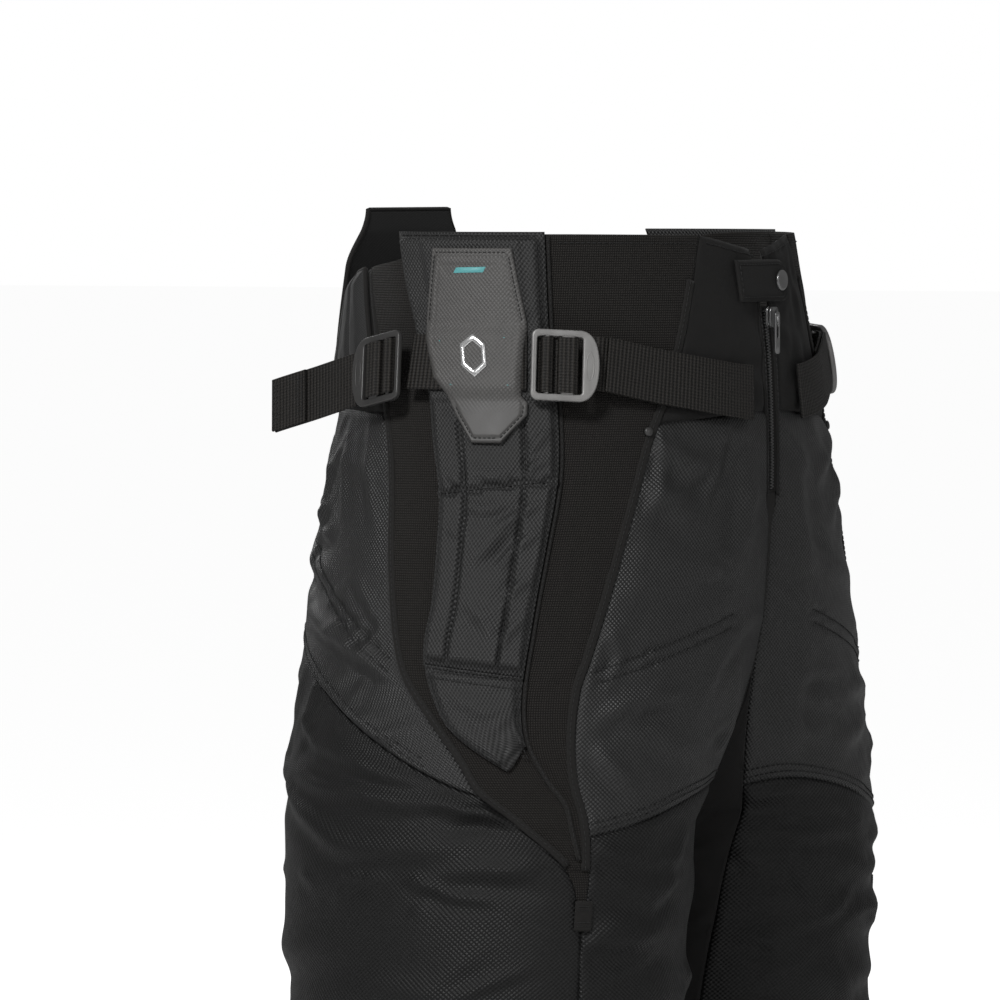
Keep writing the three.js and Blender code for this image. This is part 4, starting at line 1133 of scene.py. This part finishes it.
def barRound(outline, half, middle):
    # a bar of that outline in x and z, drawn out along y with its ends in the frame's sides
    ys = np.linspace(-half, half, 5)
    x, z = outline.T
    return capped(np.stack(np.broadcast_arrays(x, ys[:, None], z + middle), -1))


def arc(x, y, radius, start, end, steps=7):
    turn = np.radians(np.linspace(start, end, steps))
    return np.stack([x + radius * np.cos(turn), y + radius * np.sin(turn)], -1)


def run(start, end, steps):
    return np.linspace(start, end, steps + 2)[1:-1]


def buckleRing():
    # the frame's outer and inner outlines matched point by point, with a rounded section between them
    b, half, inner = buckle, buckle["half"], buckle["windowHalf"]
    low, high = b["window"]
    tabStart = b["length"] - 10.6
    bow = np.linspace(0, 1, 15)[:, None]
    bezier = lambda p, q, r, s: p * (1 - bow) ** 3 + 3 * q * bow * (1 - bow) ** 2 + 3 * r * bow ** 2 * (
        1 - bow) + s * bow ** 3
    foot, tip = np.array([tabStart, -half]), np.array([b["length"], 0.0])
    nose = bezier(foot, foot + (8, 1), tip - (0, half / 2), tip)
    outer = np.concatenate([arc(b["corner"], b["corner"] - half, b["corner"], 180, 270),
                            run((b["corner"], -half), foot, 10), nose, nose[-2::-1] * (1, -1),
                            run((tabStart, half), (b["corner"], half), 10),
                            arc(b["corner"], half - b["corner"], b["corner"], 90, 180),
                            run((0, half - b["corner"]), (0, b["corner"] - half), 14)])
    r = 1.6
    corner = arc(high - r, r - inner, r, 270, 360, 5)
    right = np.concatenate([corner, run((high, r - inner), (high, 0), 10)[:9], [(high, 0)]])
    innerLine = np.concatenate([arc(low + r, r - inner, r, 180, 270), run((low + r, -inner), (high - r, -inner), 10),
                                right, right[-2::-1] * (1, -1),
                                run((high - r, inner), (low + r, inner), 10),
                                arc(low + r, inner - r, r, 90, 180), run((low, inner - r), (low, r - inner), 14)])
    reach = unit(innerLine - outer)
    e, top = b["edge"], b["thick"]
    turn = np.radians(np.linspace(0, 90, 4))
    section = [(0, e - e * np.cos(t), top - e + e * np.sin(t)) for t in turn]
    section += [(1, e * np.cos(t) - e, top - e + e * np.sin(t)) for t in turn[::-1]]
    section += [(1, e * np.cos(t) - e, e - e * np.sin(t)) for t in turn]
    section += [(0, e - e * np.cos(t), e - e * np.sin(t)) for t in turn[::-1]]
    section = np.array(section)
    share, shift, rise_ = section.T
    flat = outer[:, None] * (1 - share[:, None]) + innerLine[:, None] * share[:, None]
    flat = flat + reach[:, None] * shift[:, None]
    return looped(np.concatenate([flat, np.broadcast_to(rise_[:, None], (*flat.shape[:2], 1))], -1))


def ovalBead(x, halfX, halfY, height, radius):
    # a raised bead round an oval
    turn = np.linspace(0, 2 * np.pi, 40, endpoint=False)
    path = np.stack([x + halfX * np.cos(turn), halfY * np.sin(turn), height + 0 * turn], -1)
    return cordRound(path, alike((0, 0, 1), path), radius)


def webbingSection(half, low, thick):
    # flat webbing with a slightly thicker woven edge
    bar = roundedBar(half, low, low + thick, 0.55, 4)
    across_ = np.linspace(-half + 0.6, half - 0.6, 13)
    swell = 0.12 * np.exp(-((half - 1.6 - np.abs(across_)) / 0.8) ** 2)
    over = np.stack([across_, low + thick + swell], -1)
    return np.concatenate([bar[:4], over, bar[4:]])


def flatStrap(x, z, half, thick):
    # webbing along a line in x and z, with its width along y
    line = np.stack([x, 0 * x, z], -1)
    return sweep(line, alike((0, 1, 0), line), alike((0, 0, 1), line), webbingSection(half, 0, thick))


def strapOn(side, angles, heights, lifts, width):
    points, along, across_, outward = lineOn(side, angles, heights)
    lifts = np.broadcast_to(lifts, angles.shape)
    section = webbingSection(width / 2, 0, belt["thick"])
    return sweep(points + outward * lifts[:, None], across_, outward, section)


strapLine = curveThrough([(30, strapHeight), (40, strapHeight - 0.5), (58, strapHeight - 7.5),
                          (79, strapHeight - 15), (110, strapHeight - 21)])
frontEnd = float(angleAlong(23.4, strapHeight, buckle["length"]))
anchorFrom, anchorTo = frontEnd - 1, float(frontSeam(strapHeight)) + 0.5


def anchorLift(angle):
    return 1 + 10.1 * np.clip((anchorTo - angle) / (anchorTo - anchorFrom), 0, 1) ** 2


for hand, side in hands.items():
    b = buckle
    for end, seat in seats.items():
        angle = float(angleAlong(seat["angle"], strapHeight, seat["way"] * b["length"] / 2))
        frame_ = beltFrame(side, angle, seat["height"], seat["way"], seat["droop"])
        origin = skin(side, angle, seat["height"], layers["buckle"]) - frame_[0] * b["length"] / 2
        rider = f"{end}_buckle_{hand}"
        barsAt = ((b["fixedBar"], 0.05), (b["sliderBar"], b["sliderTurn"]))
        bars = [barRound(stadium(*at, b["bar"]), b["windowHalf"] + 1.2, b["barHeight"]) for at in barsAt]
        parts = [buckleRing(), *bars, ovalBead(33.6, 2.1, 8.2, b["thick"] - 0.12, 0.38)]
        finish = "buckleSatin" if end == "front" else "buckleDark"
        keep(solid(f"{end}_ladder_lock_{hand}", [placed(part, origin, frame_) for part in parts], finish),
             rider, [f"{end}_buckle_{hand}"])
        section = webbingSection(belt["width"] / 2, -0.75, belt["thick"])
        loops = [ringRound(stadium(*at, b["loop"]), section, b["barHeight"]) for at in barsAt]
        xs = np.linspace(b["window"][0] + 1, b["sliderBar"] + b["sliderTurn"], 20)
        loops.append(flatStrap(xs, 0 * xs - 1.8, 16, belt["thick"]))
        keep(solid(f"{end}_loops_{hand}", [placed(part, origin, frame_) for part in loops], "webbing"),
             rider, [f"{end}_strap_loops_{hand}"])
        if end == "rear":
            tailFrame = beltFrame(side, angle, seat["height"], -1, seat["droop"] + tail["extraDroop"])
            start = skin(side, angle, seat["height"], layers["buckle"]) + tailFrame[0] * b["length"] / 2
            curl = lambda x: 1.2 * smooth(x, 30, 68)
            xs = np.linspace(1, tail["rear"], 40)
            over = np.linspace(tail["rear"] - tail["fold"], tail["rear"] + 0.9, 20)
            parts = [flatStrap(xs, -2 + curl(xs), 16, belt["thick"]), flatStrap(over, -0.45 + curl(over), 15.6, 1.6)]
            keep(solid(f"rear_tail_{hand}", [placed(part, start, tailFrame) for part in parts], "webbing"),
                 f"rear_tail_{hand}", [f"rear_tail_strap_{hand}"])
            rows = []
            for x in (44.5, 47.5, 64, 66.5):
                ys = np.linspace(-13.5, 13.5, 30)
                row = np.stack([x + 0 * ys, ys, 1.25 + curl(x) + 0 * ys], -1)
                rows.append(placed(stitchesAlong(row, alike((0, 0, 1), row)), start, tailFrame))
            keep(solid(f"rear_tail_stitching_{hand}", rows, "thread"), f"rear_tail_{hand}")

    angles = np.linspace(belt["keeper"][0] - 0.4, belt["keeper"][1] + 0.3, 40)
    keep(solid(f"keeper_belt_{hand}", [strapOn(side, angles, strapHeight + 0 * angles, layers["belt"], 32)],
               "webbing"), replaces=[f"keeper_webbing_{hand}"])
    angles = np.linspace(anchorFrom - 2.5, anchorTo, 50)
    keep(solid(f"front_anchor_{hand}", [strapOn(side, angles, strapLine(angles), anchorLift(angles), 31)],
               "webbing"), replaces=[f"front_anchor_strap_{hand}"])
    tailTo = float(angleAlong(frontEnd + 3, strapHeight, tail["front"]))
    angles = np.linspace(frontEnd + 0.9, tailTo, 70)
    lifts = np.maximum(anchorLift(angles) + 1.5, 1) + 0.9
    keep(solid(f"front_tail_{hand}", [strapOn(side, angles, strapLine(angles), lifts, 31.4)], "webbing"),
         f"front_tail_{hand}", [f"front_tail_strap_{hand}"])
    seam = float(rearSeam(strapHeight))
    angles = np.linspace(seam + 2.2, seam + 6.4, 24)
    lifts = 0.9 + 6.4 * (angles - angles[0]) / (angles[-1] - angles[0])
    keep(solid(f"rear_anchor_{hand}", [strapOn(side, angles, strapHeight - 4.5 + 0 * angles, lifts, 29)],
               "webbing"), replaces=[f"rear_anchor_strap_{hand}"])
print("belt made")

# the badge: rows of height over the strap line with the two edges as angles, and its relief
badge = {"rows": [(-46, 12.4, 19.2), (-30, 7.5, 24.4), (-23, 5.8, 24.2), (-19, 4.6, 22.6), (-9, 0.6, 22.2),
                  (9, -2, 22.2), (19, -3, 22.6), (23, -3, 22.4), (46, -2.9, 20.2), (66, -2.7, 18.4)],
         "middle": 12, "over": (13.0, 23.0), "thick": 2.0, "edge": 0.9, "stitch": 2.3, "frame": 4.9}


def badgeLift(height):
    # level on the pad, and a step up over the webbing
    off = np.abs(np.asarray(height, float) - strapHeight)
    return layers["badge"] + (layers["badgeOver"] - layers["badge"]) * (1 - smooth(off, *badge["over"]))


badgeRows = np.array(badge["rows"], float)
badgeFoot, badgeHead = badgeRows[[0, -1], 0]


def badgeEdges(z):
    # the badge's two sides as angles, z mm over the strap line
    return np.interp(z, badgeRows[:, 0], badgeRows[:, 1]), np.interp(z, badgeRows[:, 0], badgeRows[:, 2])


def badgeHalf(z):
    # half the badge's width in mm, z mm over the strap line
    start, end = badgeEdges(z)
    return (end - start) / 2 * perDegree(badge["middle"], strapHeight + z)


def badgePlace(across_, up_):
    # shares across and up the badge as an angle and a height; its top leans like the pad's
    z = badgeFoot + up_ * (badgeHead - badgeFoot)
    start, end = badgeEdges(z)
    return start + across_ * (end - start), strapHeight + z + 0 * across_


def inBadge(side, angle, height, lift):
    return skin(side, angle, height) + skinNormal(side, angle, height) * lift[..., None]


def onBadge(side, x, z, lift):
    # x mm to the front of the badge's middle line and z mm over the strap line: the point, and outwards
    angle = sum(badgeEdges(z)) / 2 + x / perDegree(badge["middle"], strapHeight + z)
    height = strapHeight + z
    return inBadge(side, angle, height, badgeLift(height) + lift), skinNormal(side, angle, height)


def plate(side, outline, low, high, bevel):
    # a flat-topped shape from an outline in mm, its upper edge drawn in by the bevel
    drawnIn = outline + unit(outline.mean(0) - outline) * bevel
    layout = ((outline, low), (outline, high - bevel), (drawnIn, high))
    return capped(np.stack([onBadge(side, *shape.T, lift)[0] for shape, lift in layout]))


for hand, side in hands.items():
    u, v = gridOf(170, 66)
    angle, height = badgePlace(v, u)
    wide = 2 * badgeHalf(height[:, :1] - strapHeight)
    fromSide = np.minimum(v, 1 - v) * wide
    fromEnd = np.minimum(u, 1 - u) * (badgeHead - badgeFoot)
    away = np.minimum(fromSide, fromEnd)
    off = np.abs(height - strapHeight)
    flange = smooth(off, 17, 24)
    relief = badgeLift(height) - badge["thick"] * 0.75 * (1 - smooth(away, 0, badge["edge"])) ** 2
    relief = relief - flange * 0.7 * (1 - smooth(away, badge["stitch"] + 0.6, badge["stitch"] + 1.5))
    relief = relief - (1 - flange) * 2.6 * (1 - smooth(fromSide, 0, 5.0)) ** 2
    groove = np.exp(-((away - badge["frame"] - 0.6) / 0.45) ** 2) * (height > strapHeight + 6)
    relief = relief - 0.45 * groove
    # the label's recess near the top, wider above than below
    middle = (v - 0.46) * wide
    down = height - (strapHeight + 53.2)
    label = np.maximum(np.abs(down) - 3.6, np.abs(middle) - 13.2 - 0.45 * down)
    relief = relief - 0.35 * (1 - smooth(label, -0.3, 0.35))
    outer = inBadge(side, angle, height, relief)
    inner = inBadge(side, angle, height, np.minimum(badgeLift(height) - badge["thick"], relief - 0.5))
    uv = np.stack([(angle - badge["middle"]) * perDegree(badge["middle"], strapHeight), height], -1)
    keep(shellSolid(f"hip_badge_cover_{hand}", outer, inner, uv, "badgeRubber"),
         replaces=[f"hip_badge_{hand}"])

    # a plain six-sided ring, and a coloured bar in the label
    corners = np.array([(-6.5, -6), (0, -12.5), (6.5, -6), (6.5, 7), (0, 13.5), (-6.5, 7)], float)
    x, z = outlined(corners, 9).T
    profile = ((1.0, -0.3), (1.0, 0.55), (0.94, 0.95), (0.72, 0.95), (0.66, 0.55), (0.66, -0.3))
    hexRing = np.stack([onBadge(side, x * scale + 0.4, z * scale + 3, lift)[0] for scale, lift in profile])
    keep(solid(f"emblem_{hand}", [looped(hexRing)], "emblemMetal"))
    bar = np.array([(-9.2, 51.6), (6.6, 52.0), (8.2, 55.2), (-7.6, 54.8)], float)
    marks = [plate(side, outlined(bar, 7), -0.6, -0.1, 0.15)]
    for x, z in ((-17.2, 12), (16.2, 14), (-14.2, -14), (15.0, -14)):
        marks.append(plate(side, arc(x, z, 0.5, 0, 360, 11)[:-1], -1.6, 0.0, 0.1))
    keep(solid(f"badge_marks_{hand}", marks, "labelInk"))
    lines = []
    for low, high in ((-43.6, -24), (24, 63.4)):
        z = np.linspace(low, high, 60)
        lines += [(way * (badgeHalf(z) - badge["stitch"]), z) for way in (-1, 1)]
    for end in (-43.6, 63.4):
        lines.append((np.linspace(-1, 1, 40) * (badgeHalf(end) - badge["stitch"]), np.full(40, end)))
    rows = [stitchesAlong(*onBadge(side, x, z, -0.45), 2.7, 1.9, 0.3) for x, z in lines]
    keep(solid(f"badge_stitching_{hand}", rows, "thread"))
print("badges made")


# the pads behind the belt: a knit cover, crowned, bound round its edge
def crowned(angle, height, side, foot, rim, crown, channels=(), rimWidth=3):
    # lift over a grid: low at the rim, rising over a few cells to the crown, with sewn channels across it
    cells, columns = cellsIn(angle.shape), angle.shape[1]
    lift = rim + (crown - rim) * np.sqrt(smooth(cells, 0, rimWidth * 2))
    for share in channels:
        off = (np.arange(columns) / (columns - 1) - share) * columns
        lift = lift - (crown - rim) * 0.75 * np.exp(-(off / 1.7) ** 2) * (cells > 1)
    return skin(side, angle, height, lift), skin(side, angle, height, foot)


kidneyFoot = under(strapHeight, (-61, 10), (-40, 14), (-20, 16))
kidneyHead = under(body["top"], (-61, 28.5), (-50, 23.5), (-37, 20))
for hand, side in hands.items():
    angle, height = patch(level(-61), lambda h: rearSeam(h) - 1.5, kidneyFoot, kidneyHead, 2.0, 1.1)
    outer, inner = crowned(angle, height, side, 0.9, 3.0, 8.0, (0.36, 0.7))
    outer = outer + gridNormals(outer, side) * (0.25 * ripple(angle.shape, 5 + side, 7))[..., None]
    keep(shellSolid(f"kidney_pad_soft_{hand}", outer, inner, clothUv(angle, height), "padKnit"),
         replaces=[f"kidney_pad_{hand}"])
    points, along, across_, outward = lineOn(side, *borderOf(np.stack([angle, height], -1)).T, 2.0)
    keep(solid(f"kidney_binding_{hand}", [cordRound(points, outward, 1.5)], "tape"))


def middleSkin(facing, x, height, lift):
    # across the middle: the leg oval's depth at that x, in front or behind
    centre, across_, along = legOval(height)
    depth = along * np.sqrt(1 - np.clip((np.abs(x) - centre) / across_, -1, 0) ** 2)
    return np.stack(np.broadcast_arrays(x, facing * (depth + lift), height), -1)


# the rise tape closes the middle seam from behind: down from the fly's foot, under the crotch and up the back;
# heights crowd towards the crotch as a square, and it widens behind the notch at the fly's foot
riseTape = {"half": 4.0, "low": -1.5, "high": -0.3, "widening": 1.3, "notch": (24, 6)}
share = np.linspace(1, 0, 160) ** 2
front = body["crotch"] + (flyFoot + 4 - body["crotch"]) * share
rear = body["crotch"] + (strapHeight - 8 - body["crotch"]) * share[::-1]
line = np.concatenate([middleSkin(-1, 0 * front, front, 0), middleSkin(1, 0 * rear, rear, 0)])
length = lengthAlong(line)
steps = np.linspace(0, length[-1], 200)
line = np.stack([np.interp(steps, length, column) for column in line.T], -1)
notch = smooth(line[:, 2], *(flyFoot - down for down in riseTape["notch"])) * (line[:, 1] < 0)
across_, over = roundedBar(riseTape["half"], riseTape["low"], riseTape["high"], 0.5, 4).T
section = np.stack(np.broadcast_arrays(across_ * (1 + riseTape["widening"] * notch[:, None]), over), -1)
sideways = alike((1, 0, 0), line)
outward = unit(np.cross(unit(np.gradient(line, axis=0)), sideways))
keep(solid("rise_tape", [sweep(line, sideways, outward, section)], "tape"))

spine = {"half": 65, "foot": strapHeight - 23, "head": 552, "taper": 0.28}
spineRows = (-0.36, 0.36)


def spineX(share, height):
    # a share of the half width at a height; the guard narrows near its head
    up_ = (height - spine["foot"]) / (spine["head"] - spine["foot"])
    return share * (spine["half"] - 0.8) * (1 - spine["taper"] * smooth(up_, 0.7, 1))


height, v = np.meshgrid(np.linspace(spine["foot"], spine["head"], 56), np.linspace(-1, 1, 64), indexing="ij")
x, cells = spineX(v, height), cellsIn(v.shape)
lift = 3.0 + 3.2 * np.sqrt(smooth(cells, 0, 5))
for share in spineRows:
    lift = lift - 2.0 * np.exp(-((v - share) / 0.03) ** 2) * (cells > 2)
flat = np.stack([x, height], -1)
keep(shellSolid("spine_guard_soft", middleSkin(1, x, height, lift), middleSkin(1, x, height, 1.0), flat, "padKnit"),
     replaces=["spine_guard"])
points = middleSkin(1, *borderOf(flat).T, 2.1)
keep(solid("spine_binding", [cordRound(points, alike((0, 1, 0), points), 1.5)], "tape"))
rows = []
for share in spineRows:
    height = np.linspace(spine["foot"] + 4, spine["head"] - 4, 80)
    where = middleSkin(1, spineX(share, height), height, 4.3)
    rows.append(stitchesAlong(where, alike((0, 1, 0), where)))
keep(solid("spine_stitching", rows, "thread"))
print("back pads made")

# hems, the gusset's end, the lining and the guards
hem = {"top": 20.9, "out": 0.4, "thick": 3.4, "edge": 1.2}
lining = {"out": -17.9, "thick": 1.4, "foot": 30, "head": 494, "turn": 22}
for hand, side in hands.items():
    turn = np.linspace(0, 360, 145)[:-1]
    section = roundedBar(hem["top"] / 2, hem["out"] - hem["thick"], hem["out"] + 0.4, hem["edge"], 5)
    heights = section[:, 0] + hem["top"] / 2
    crease = 0.35 * np.exp(-((heights - 16.5) / 1.2) ** 2) * (section[:, 1] > 0)
    grid = skin(side, turn[:, None], heights[None], (section[:, 1] - crease)[None])
    uv = np.stack(np.broadcast_arrays((turn * 2.2)[:, None], heights[None]), -1).reshape(-1, 2)
    keep(solid(f"hem_{hand}", [(*looped(grid), uv)], "twill"), replaces=[f"hem_band_{hand}"])
    rows = []
    for height in (4.0, 17.2):
        turn = np.linspace(0, 360, 400)
        rows.append(stitchesAlong(skin(side, turn, height, hem["out"] + 0.55), skinNormal(side, turn, height)))
    keep(solid(f"hem_stitching_{hand}", rows, "thread"))

    edges = (lambda h: rearSeam(h) - 0.3, lambda h: frontSeam(h) + 0.3, level(149), level(184))
    angle, height = patch(*edges, 2.5, 0.0)
    outer, inner = (skin(side, angle, height, lift) for lift in (-0.2, -1.8))
    keep(shellSolid(f"gusset_end_{hand}", outer, inner, clothUv(angle, height), "stretch"))
    # a bartacked tab over the point where the seams meet
    heights = np.linspace(146, 163, 12)
    points, along, across_, outward = lineOn(side, 54.6 + 0 * heights, heights, 0.5)
    tab = sweep(points, across_, outward, roundedBar(5.2, 0, 1.1, 0.5))
    keep(solid(f"gusset_tab_{hand}", [tab], "tape"))
    rows = []
    for height in (149, 151, 158, 160):
        turn = 54.6 + np.linspace(-4, 4, 20) / perDegree(54.6, height)
        rows.append(stitchesAlong(skin(side, turn, height, 1.65), skinNormal(side, turn, height), 1.0, 0.9, 0.35))
    keep(solid(f"gusset_tack_{hand}", rows, "thread"))

    # the lining hangs inside and turns out to the shell at its head and foot
    foot, head = lining["foot"], lining["head"]
    edges = (lambda h: 1.5 + rearInnerEdge(h), lambda h: innerEdge(h) - 1.5, level(foot), level(head))
    angle, height = patch(*edges, 8.0, 0.0)
    turnOut = np.maximum(smooth(-height, -foot - lining["turn"], -foot), smooth(height, head - lining["turn"], head))
    lift = lining["out"] + (14.6 * turnOut ** 2)
    lift = lift + 1.6 * ripple(angle.shape, 17 + side, 9, 8) * (1 - turnOut)
    outer, inner = (finer(skin(side, angle, height, lift - drop), 2) for drop in (0, lining["thick"]))
    thing = keep(shellSolid(f"lining_{hand}", outer, inner, clothUv(finer(angle, 2), finer(height, 2)), "linerKnit"),
                 replaces=[f"liner_{hand}"])
    flatSize, area = Panel(side, edges, (0, 0), 8.0).cut()
    print(f"lining_{hand} cut {flatSize[0]:.3f} x {flatSize[1]:.3f} m, {area:.4f} m2")

    thigh = (level(62), lambda h: np.minimum(104, innerEdge(h) - 9), level(rise(0.1)), level(rise(0.62)), 4.0)
    hip = (lambda h: padEdge(h) + 3, lambda h: padEnd(h) - 3, level(rise(0.31)), level(rise(0.93)), 3.0)
    guards = {  # edges, its foot, rim and crown, the rim's width, finish, the node it stands for, slot, padding
        "thigh_foam": (thigh, (-16.0, -9.5, -6.6), 2, "guardFoam", "thigh_guard_foam", "foam", 1.0),
        "thigh_plate": (thigh, (-5.3, -4.4, -3.2), 1, "guardPlastic", "thigh_guard_plate", "guard_plastic", None),
        "hip_plate": (hip, (1.1, 1.7, 2.9), 1, "guardPlastic", "hip_guard_plate", "guard_plastic", None),
    }
    for name, (edges, lifts, rimWidth, finish, node, slot, padding) in guards.items():
        angle, height = patch(*edges, 1.1)
        outer, inner = crowned(angle, height, side, *lifts, (), rimWidth)
        keep(shellSolid(f"{name}_{hand}", outer, inner, clothUv(angle, height), finish),
             replaces=[f"{node}_{hand}"])
print("hems, lining and guards made")

# the fly: tape, coil, slider and pull, and the waist tab with its snap
zipper = {"half": 6.0, "foot": 391.0, "head": 497.0, "tooth": (1.9, 1.5, 0.95), "pitch": 1.75,
          "slider": (9.0, 12.0), "pull": (5.0, 24.0)}  # wide and long
h = np.linspace(zipper["foot"], zipper["head"], 60)
x = np.linspace(-zipper["half"], zipper["half"], 13)
x, height = np.meshgrid(x, h)
fold = 0.5 * smooth(np.abs(x), 2.5, 4.5)
outer, inner = middleSkin(-1, x, height, -0.9 + fold), middleSkin(-1, x, height, -2.0)
keep(shellSolid("fly_tape", outer, inner, np.stack([x, height], -1), "tape"), replaces=["fly_zip"])
teeth = []
for way in (-1, 1):
    h = np.arange(zipper["foot"] + 2, zipper["head"] - 1, zipper["pitch"]) + (0.5 * zipper["pitch"]) * (way > 0)
    where = middleSkin(-1, 0 * h + way * 0.75, h, -0.35)
    box = np.array([(a, b_, c) for a in (-1, 1) for b_ in (-1, 1) for c in (-1, 1)], float)
    box = box * np.array(zipper["tooth"]) / 2
    box[:, 0] *= np.where(box[:, 1] < 0, 0.7, 1)
    quads = np.array([(0, 1, 3, 2), (4, 6, 7, 5), (0, 4, 5, 1), (2, 3, 7, 6), (0, 2, 6, 4), (1, 5, 7, 3)])
    teeth.append(((where[:, None] + box[None]).reshape(-1, 3),
                  [(quads[None] + np.arange(len(h))[:, None, None] * 8).reshape(-1, 4)]))
keep(solid("fly_teeth", teeth, "guardPlastic"))
for way in (-1, 1):
    h = np.linspace(zipper["foot"] - 2, zipper["head"] + 4, 60)
    where = middleSkin(-1, 0 * h + way * 6.6, h, -0.2)
    out = alike((0, -1, 0), where)
    side_ = unit(np.cross(unit(np.gradient(where, axis=0)), out))
    hand = "left" if way > 0 else "right"
    keep(solid(f"fly_edge_{hand}", [sweep(where, side_, out, roundedBar(1.9, -0.8, 0.7, 0.6))], "twill"))
    row = where + out * 0.85 + side_ * 0.4
    keep(solid(f"fly_stitching_{hand}", [stitchesAlong(row, out)], "thread"))

top = np.array([0, -(float(halfDepth(zipper["head"])) + 3.4), zipper["head"]])
outline = np.array([(-0.5, -1.0), (-0.42, -0.45), (-0.5, 0.0), (0.5, 0.0), (0.42, -0.45), (0.5, -1.0), (0.18, -1.0),
                    (-0.18, -1.0)])


def slab(outline, low, high, bevel):
    # a flat shape in x and z between two depths, with its edges drawn in by the bevel
    middle = outline.mean(0)
    rings = []
    for depth, draw in ((low, bevel), (low + bevel, 0), (high - bevel, 0), (high, bevel)):
        shape = outline + unit(middle - outline) * draw
        rings.append(np.stack([shape[:, 0], 0 * shape[:, 0] - depth, shape[:, 1]], -1))
    return capped(np.stack(rings), turned=True)


def roundedOutline(halfX, low, high, radius, steps=6):
    quarter = np.radians(np.linspace(0, 90, steps))
    corners = [(halfX - radius, high - radius, 0), (radius - halfX, high - radius, 90),
               (radius - halfX, low + radius, 180), (halfX - radius, low + radius, 270)]
    return np.concatenate([np.stack([a + radius * np.cos(quarter + np.radians(t)),
                                     c + radius * np.sin(quarter + np.radians(t))], -1) for a, c, t in corners])


w, t = zipper["slider"]
wing = roundedOutline(w / 2, -t, 0, 2.4)
parts = [slab(wing, 0.1, 1.2, 0.35), slab(wing, 2.3, 3.4, 0.35),
         slab(roundedOutline(1.4, -t + 1, -1, 0.8), 1.0, 2.6, 0.2)]
keep(solid("zip_slider_body", [(p + top, f) for p, f in parts], "zipMetal"), "zip_slider", ["zip_slider"])
w, t = zipper["pull"]
outlineOut, hole = roundedOutline(w / 2, -3 - t, -3, 1.6), roundedOutline(w / 2 - 1.3, -3 - t + 9, -3 - 1.8, 1.0)
rings = []
for shape, depth in ((outlineOut, 4.3), (outlineOut, 5.3), (outlineOut * (0.92, 1), 5.6), (hole * (1.08, 1), 5.6),
                     (hole, 5.3), (hole, 4.3)):
    rings.append(np.stack([shape[:, 0], 0 * shape[:, 0] - depth, shape[:, 1]], -1))
keep(solid("zip_pull_tab", [looped(np.stack(rings) + top)], "zipMetal"), "zip_pull", ["zip_pull"])

waistTab = {"reach": (-30.0, 26.0), "foot": 500.0, "head": 524.0, "snapAt": (17.0, 512)}
u, v = gridOf(26, 50)
x = waistTab["reach"][0] + v * (waistTab["reach"][1] - waistTab["reach"][0])
nose = 12 * (1 - np.sqrt(np.clip(1 - np.clip((x - 18) / 8, 0, 1) ** 2, 0, 1))) * 0.55
height = waistTab["foot"] + nose + u * (waistTab["head"] - waistTab["foot"] - 2 * nose)
edge = np.minimum(np.minimum(u, 1 - u) * 24, np.minimum(v, 1 - v) * 56)
lift = 2.2 + 0.9 * smooth(edge, 0, 1.2) - 0.25 * np.exp(-((edge - 2.8) / 0.6) ** 2)
outer, inner = middleSkin(-1, x, height, lift), middleSkin(-1, x, height, 1.0)
keep(shellSolid("waist_tab_cloth", outer, inner, np.stack([x, height], -1), "twill"), "waist_tab",
     ["waist_tab"])
corners = np.array([(-27.5, 502.6), (19, 502.6), (23.4, 508), (23.4, 516), (19, 521.4), (-27.5, 521.4)])
where = middleSkin(-1, *outlined(corners, 24).T, 3.1)
keep(solid("waist_tab_stitching", [stitchesAlong(where, alike((0, -1, 0), where))], "thread"), "waist_tab")
radii, rises = np.array([(6.0, 0.0), (6.0, 0.7), (5.6, 1.25), (4.6, 1.6), (4.1, 1.55), (3.4, 1.35), (2.0, 1.5),
                         (0.6, 1.6)]).T[:, :, None]
turn = np.linspace(0, 2 * np.pi, 40, endpoint=False)
snapX, snapZ = waistTab["snapAt"]
start = float(halfDepth(snapZ)) + 4.0
dome = np.broadcast_arrays(snapX + radii * np.cos(turn), -start - rises, snapZ + radii * np.sin(turn))
keep(solid("snap", [capped(np.stack(dome, -1))], "zipMetal"), "waist_tab", ["snap_cap"])
print("fly and waist tab made")

corners = {"cad": cadBox, "visual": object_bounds()}
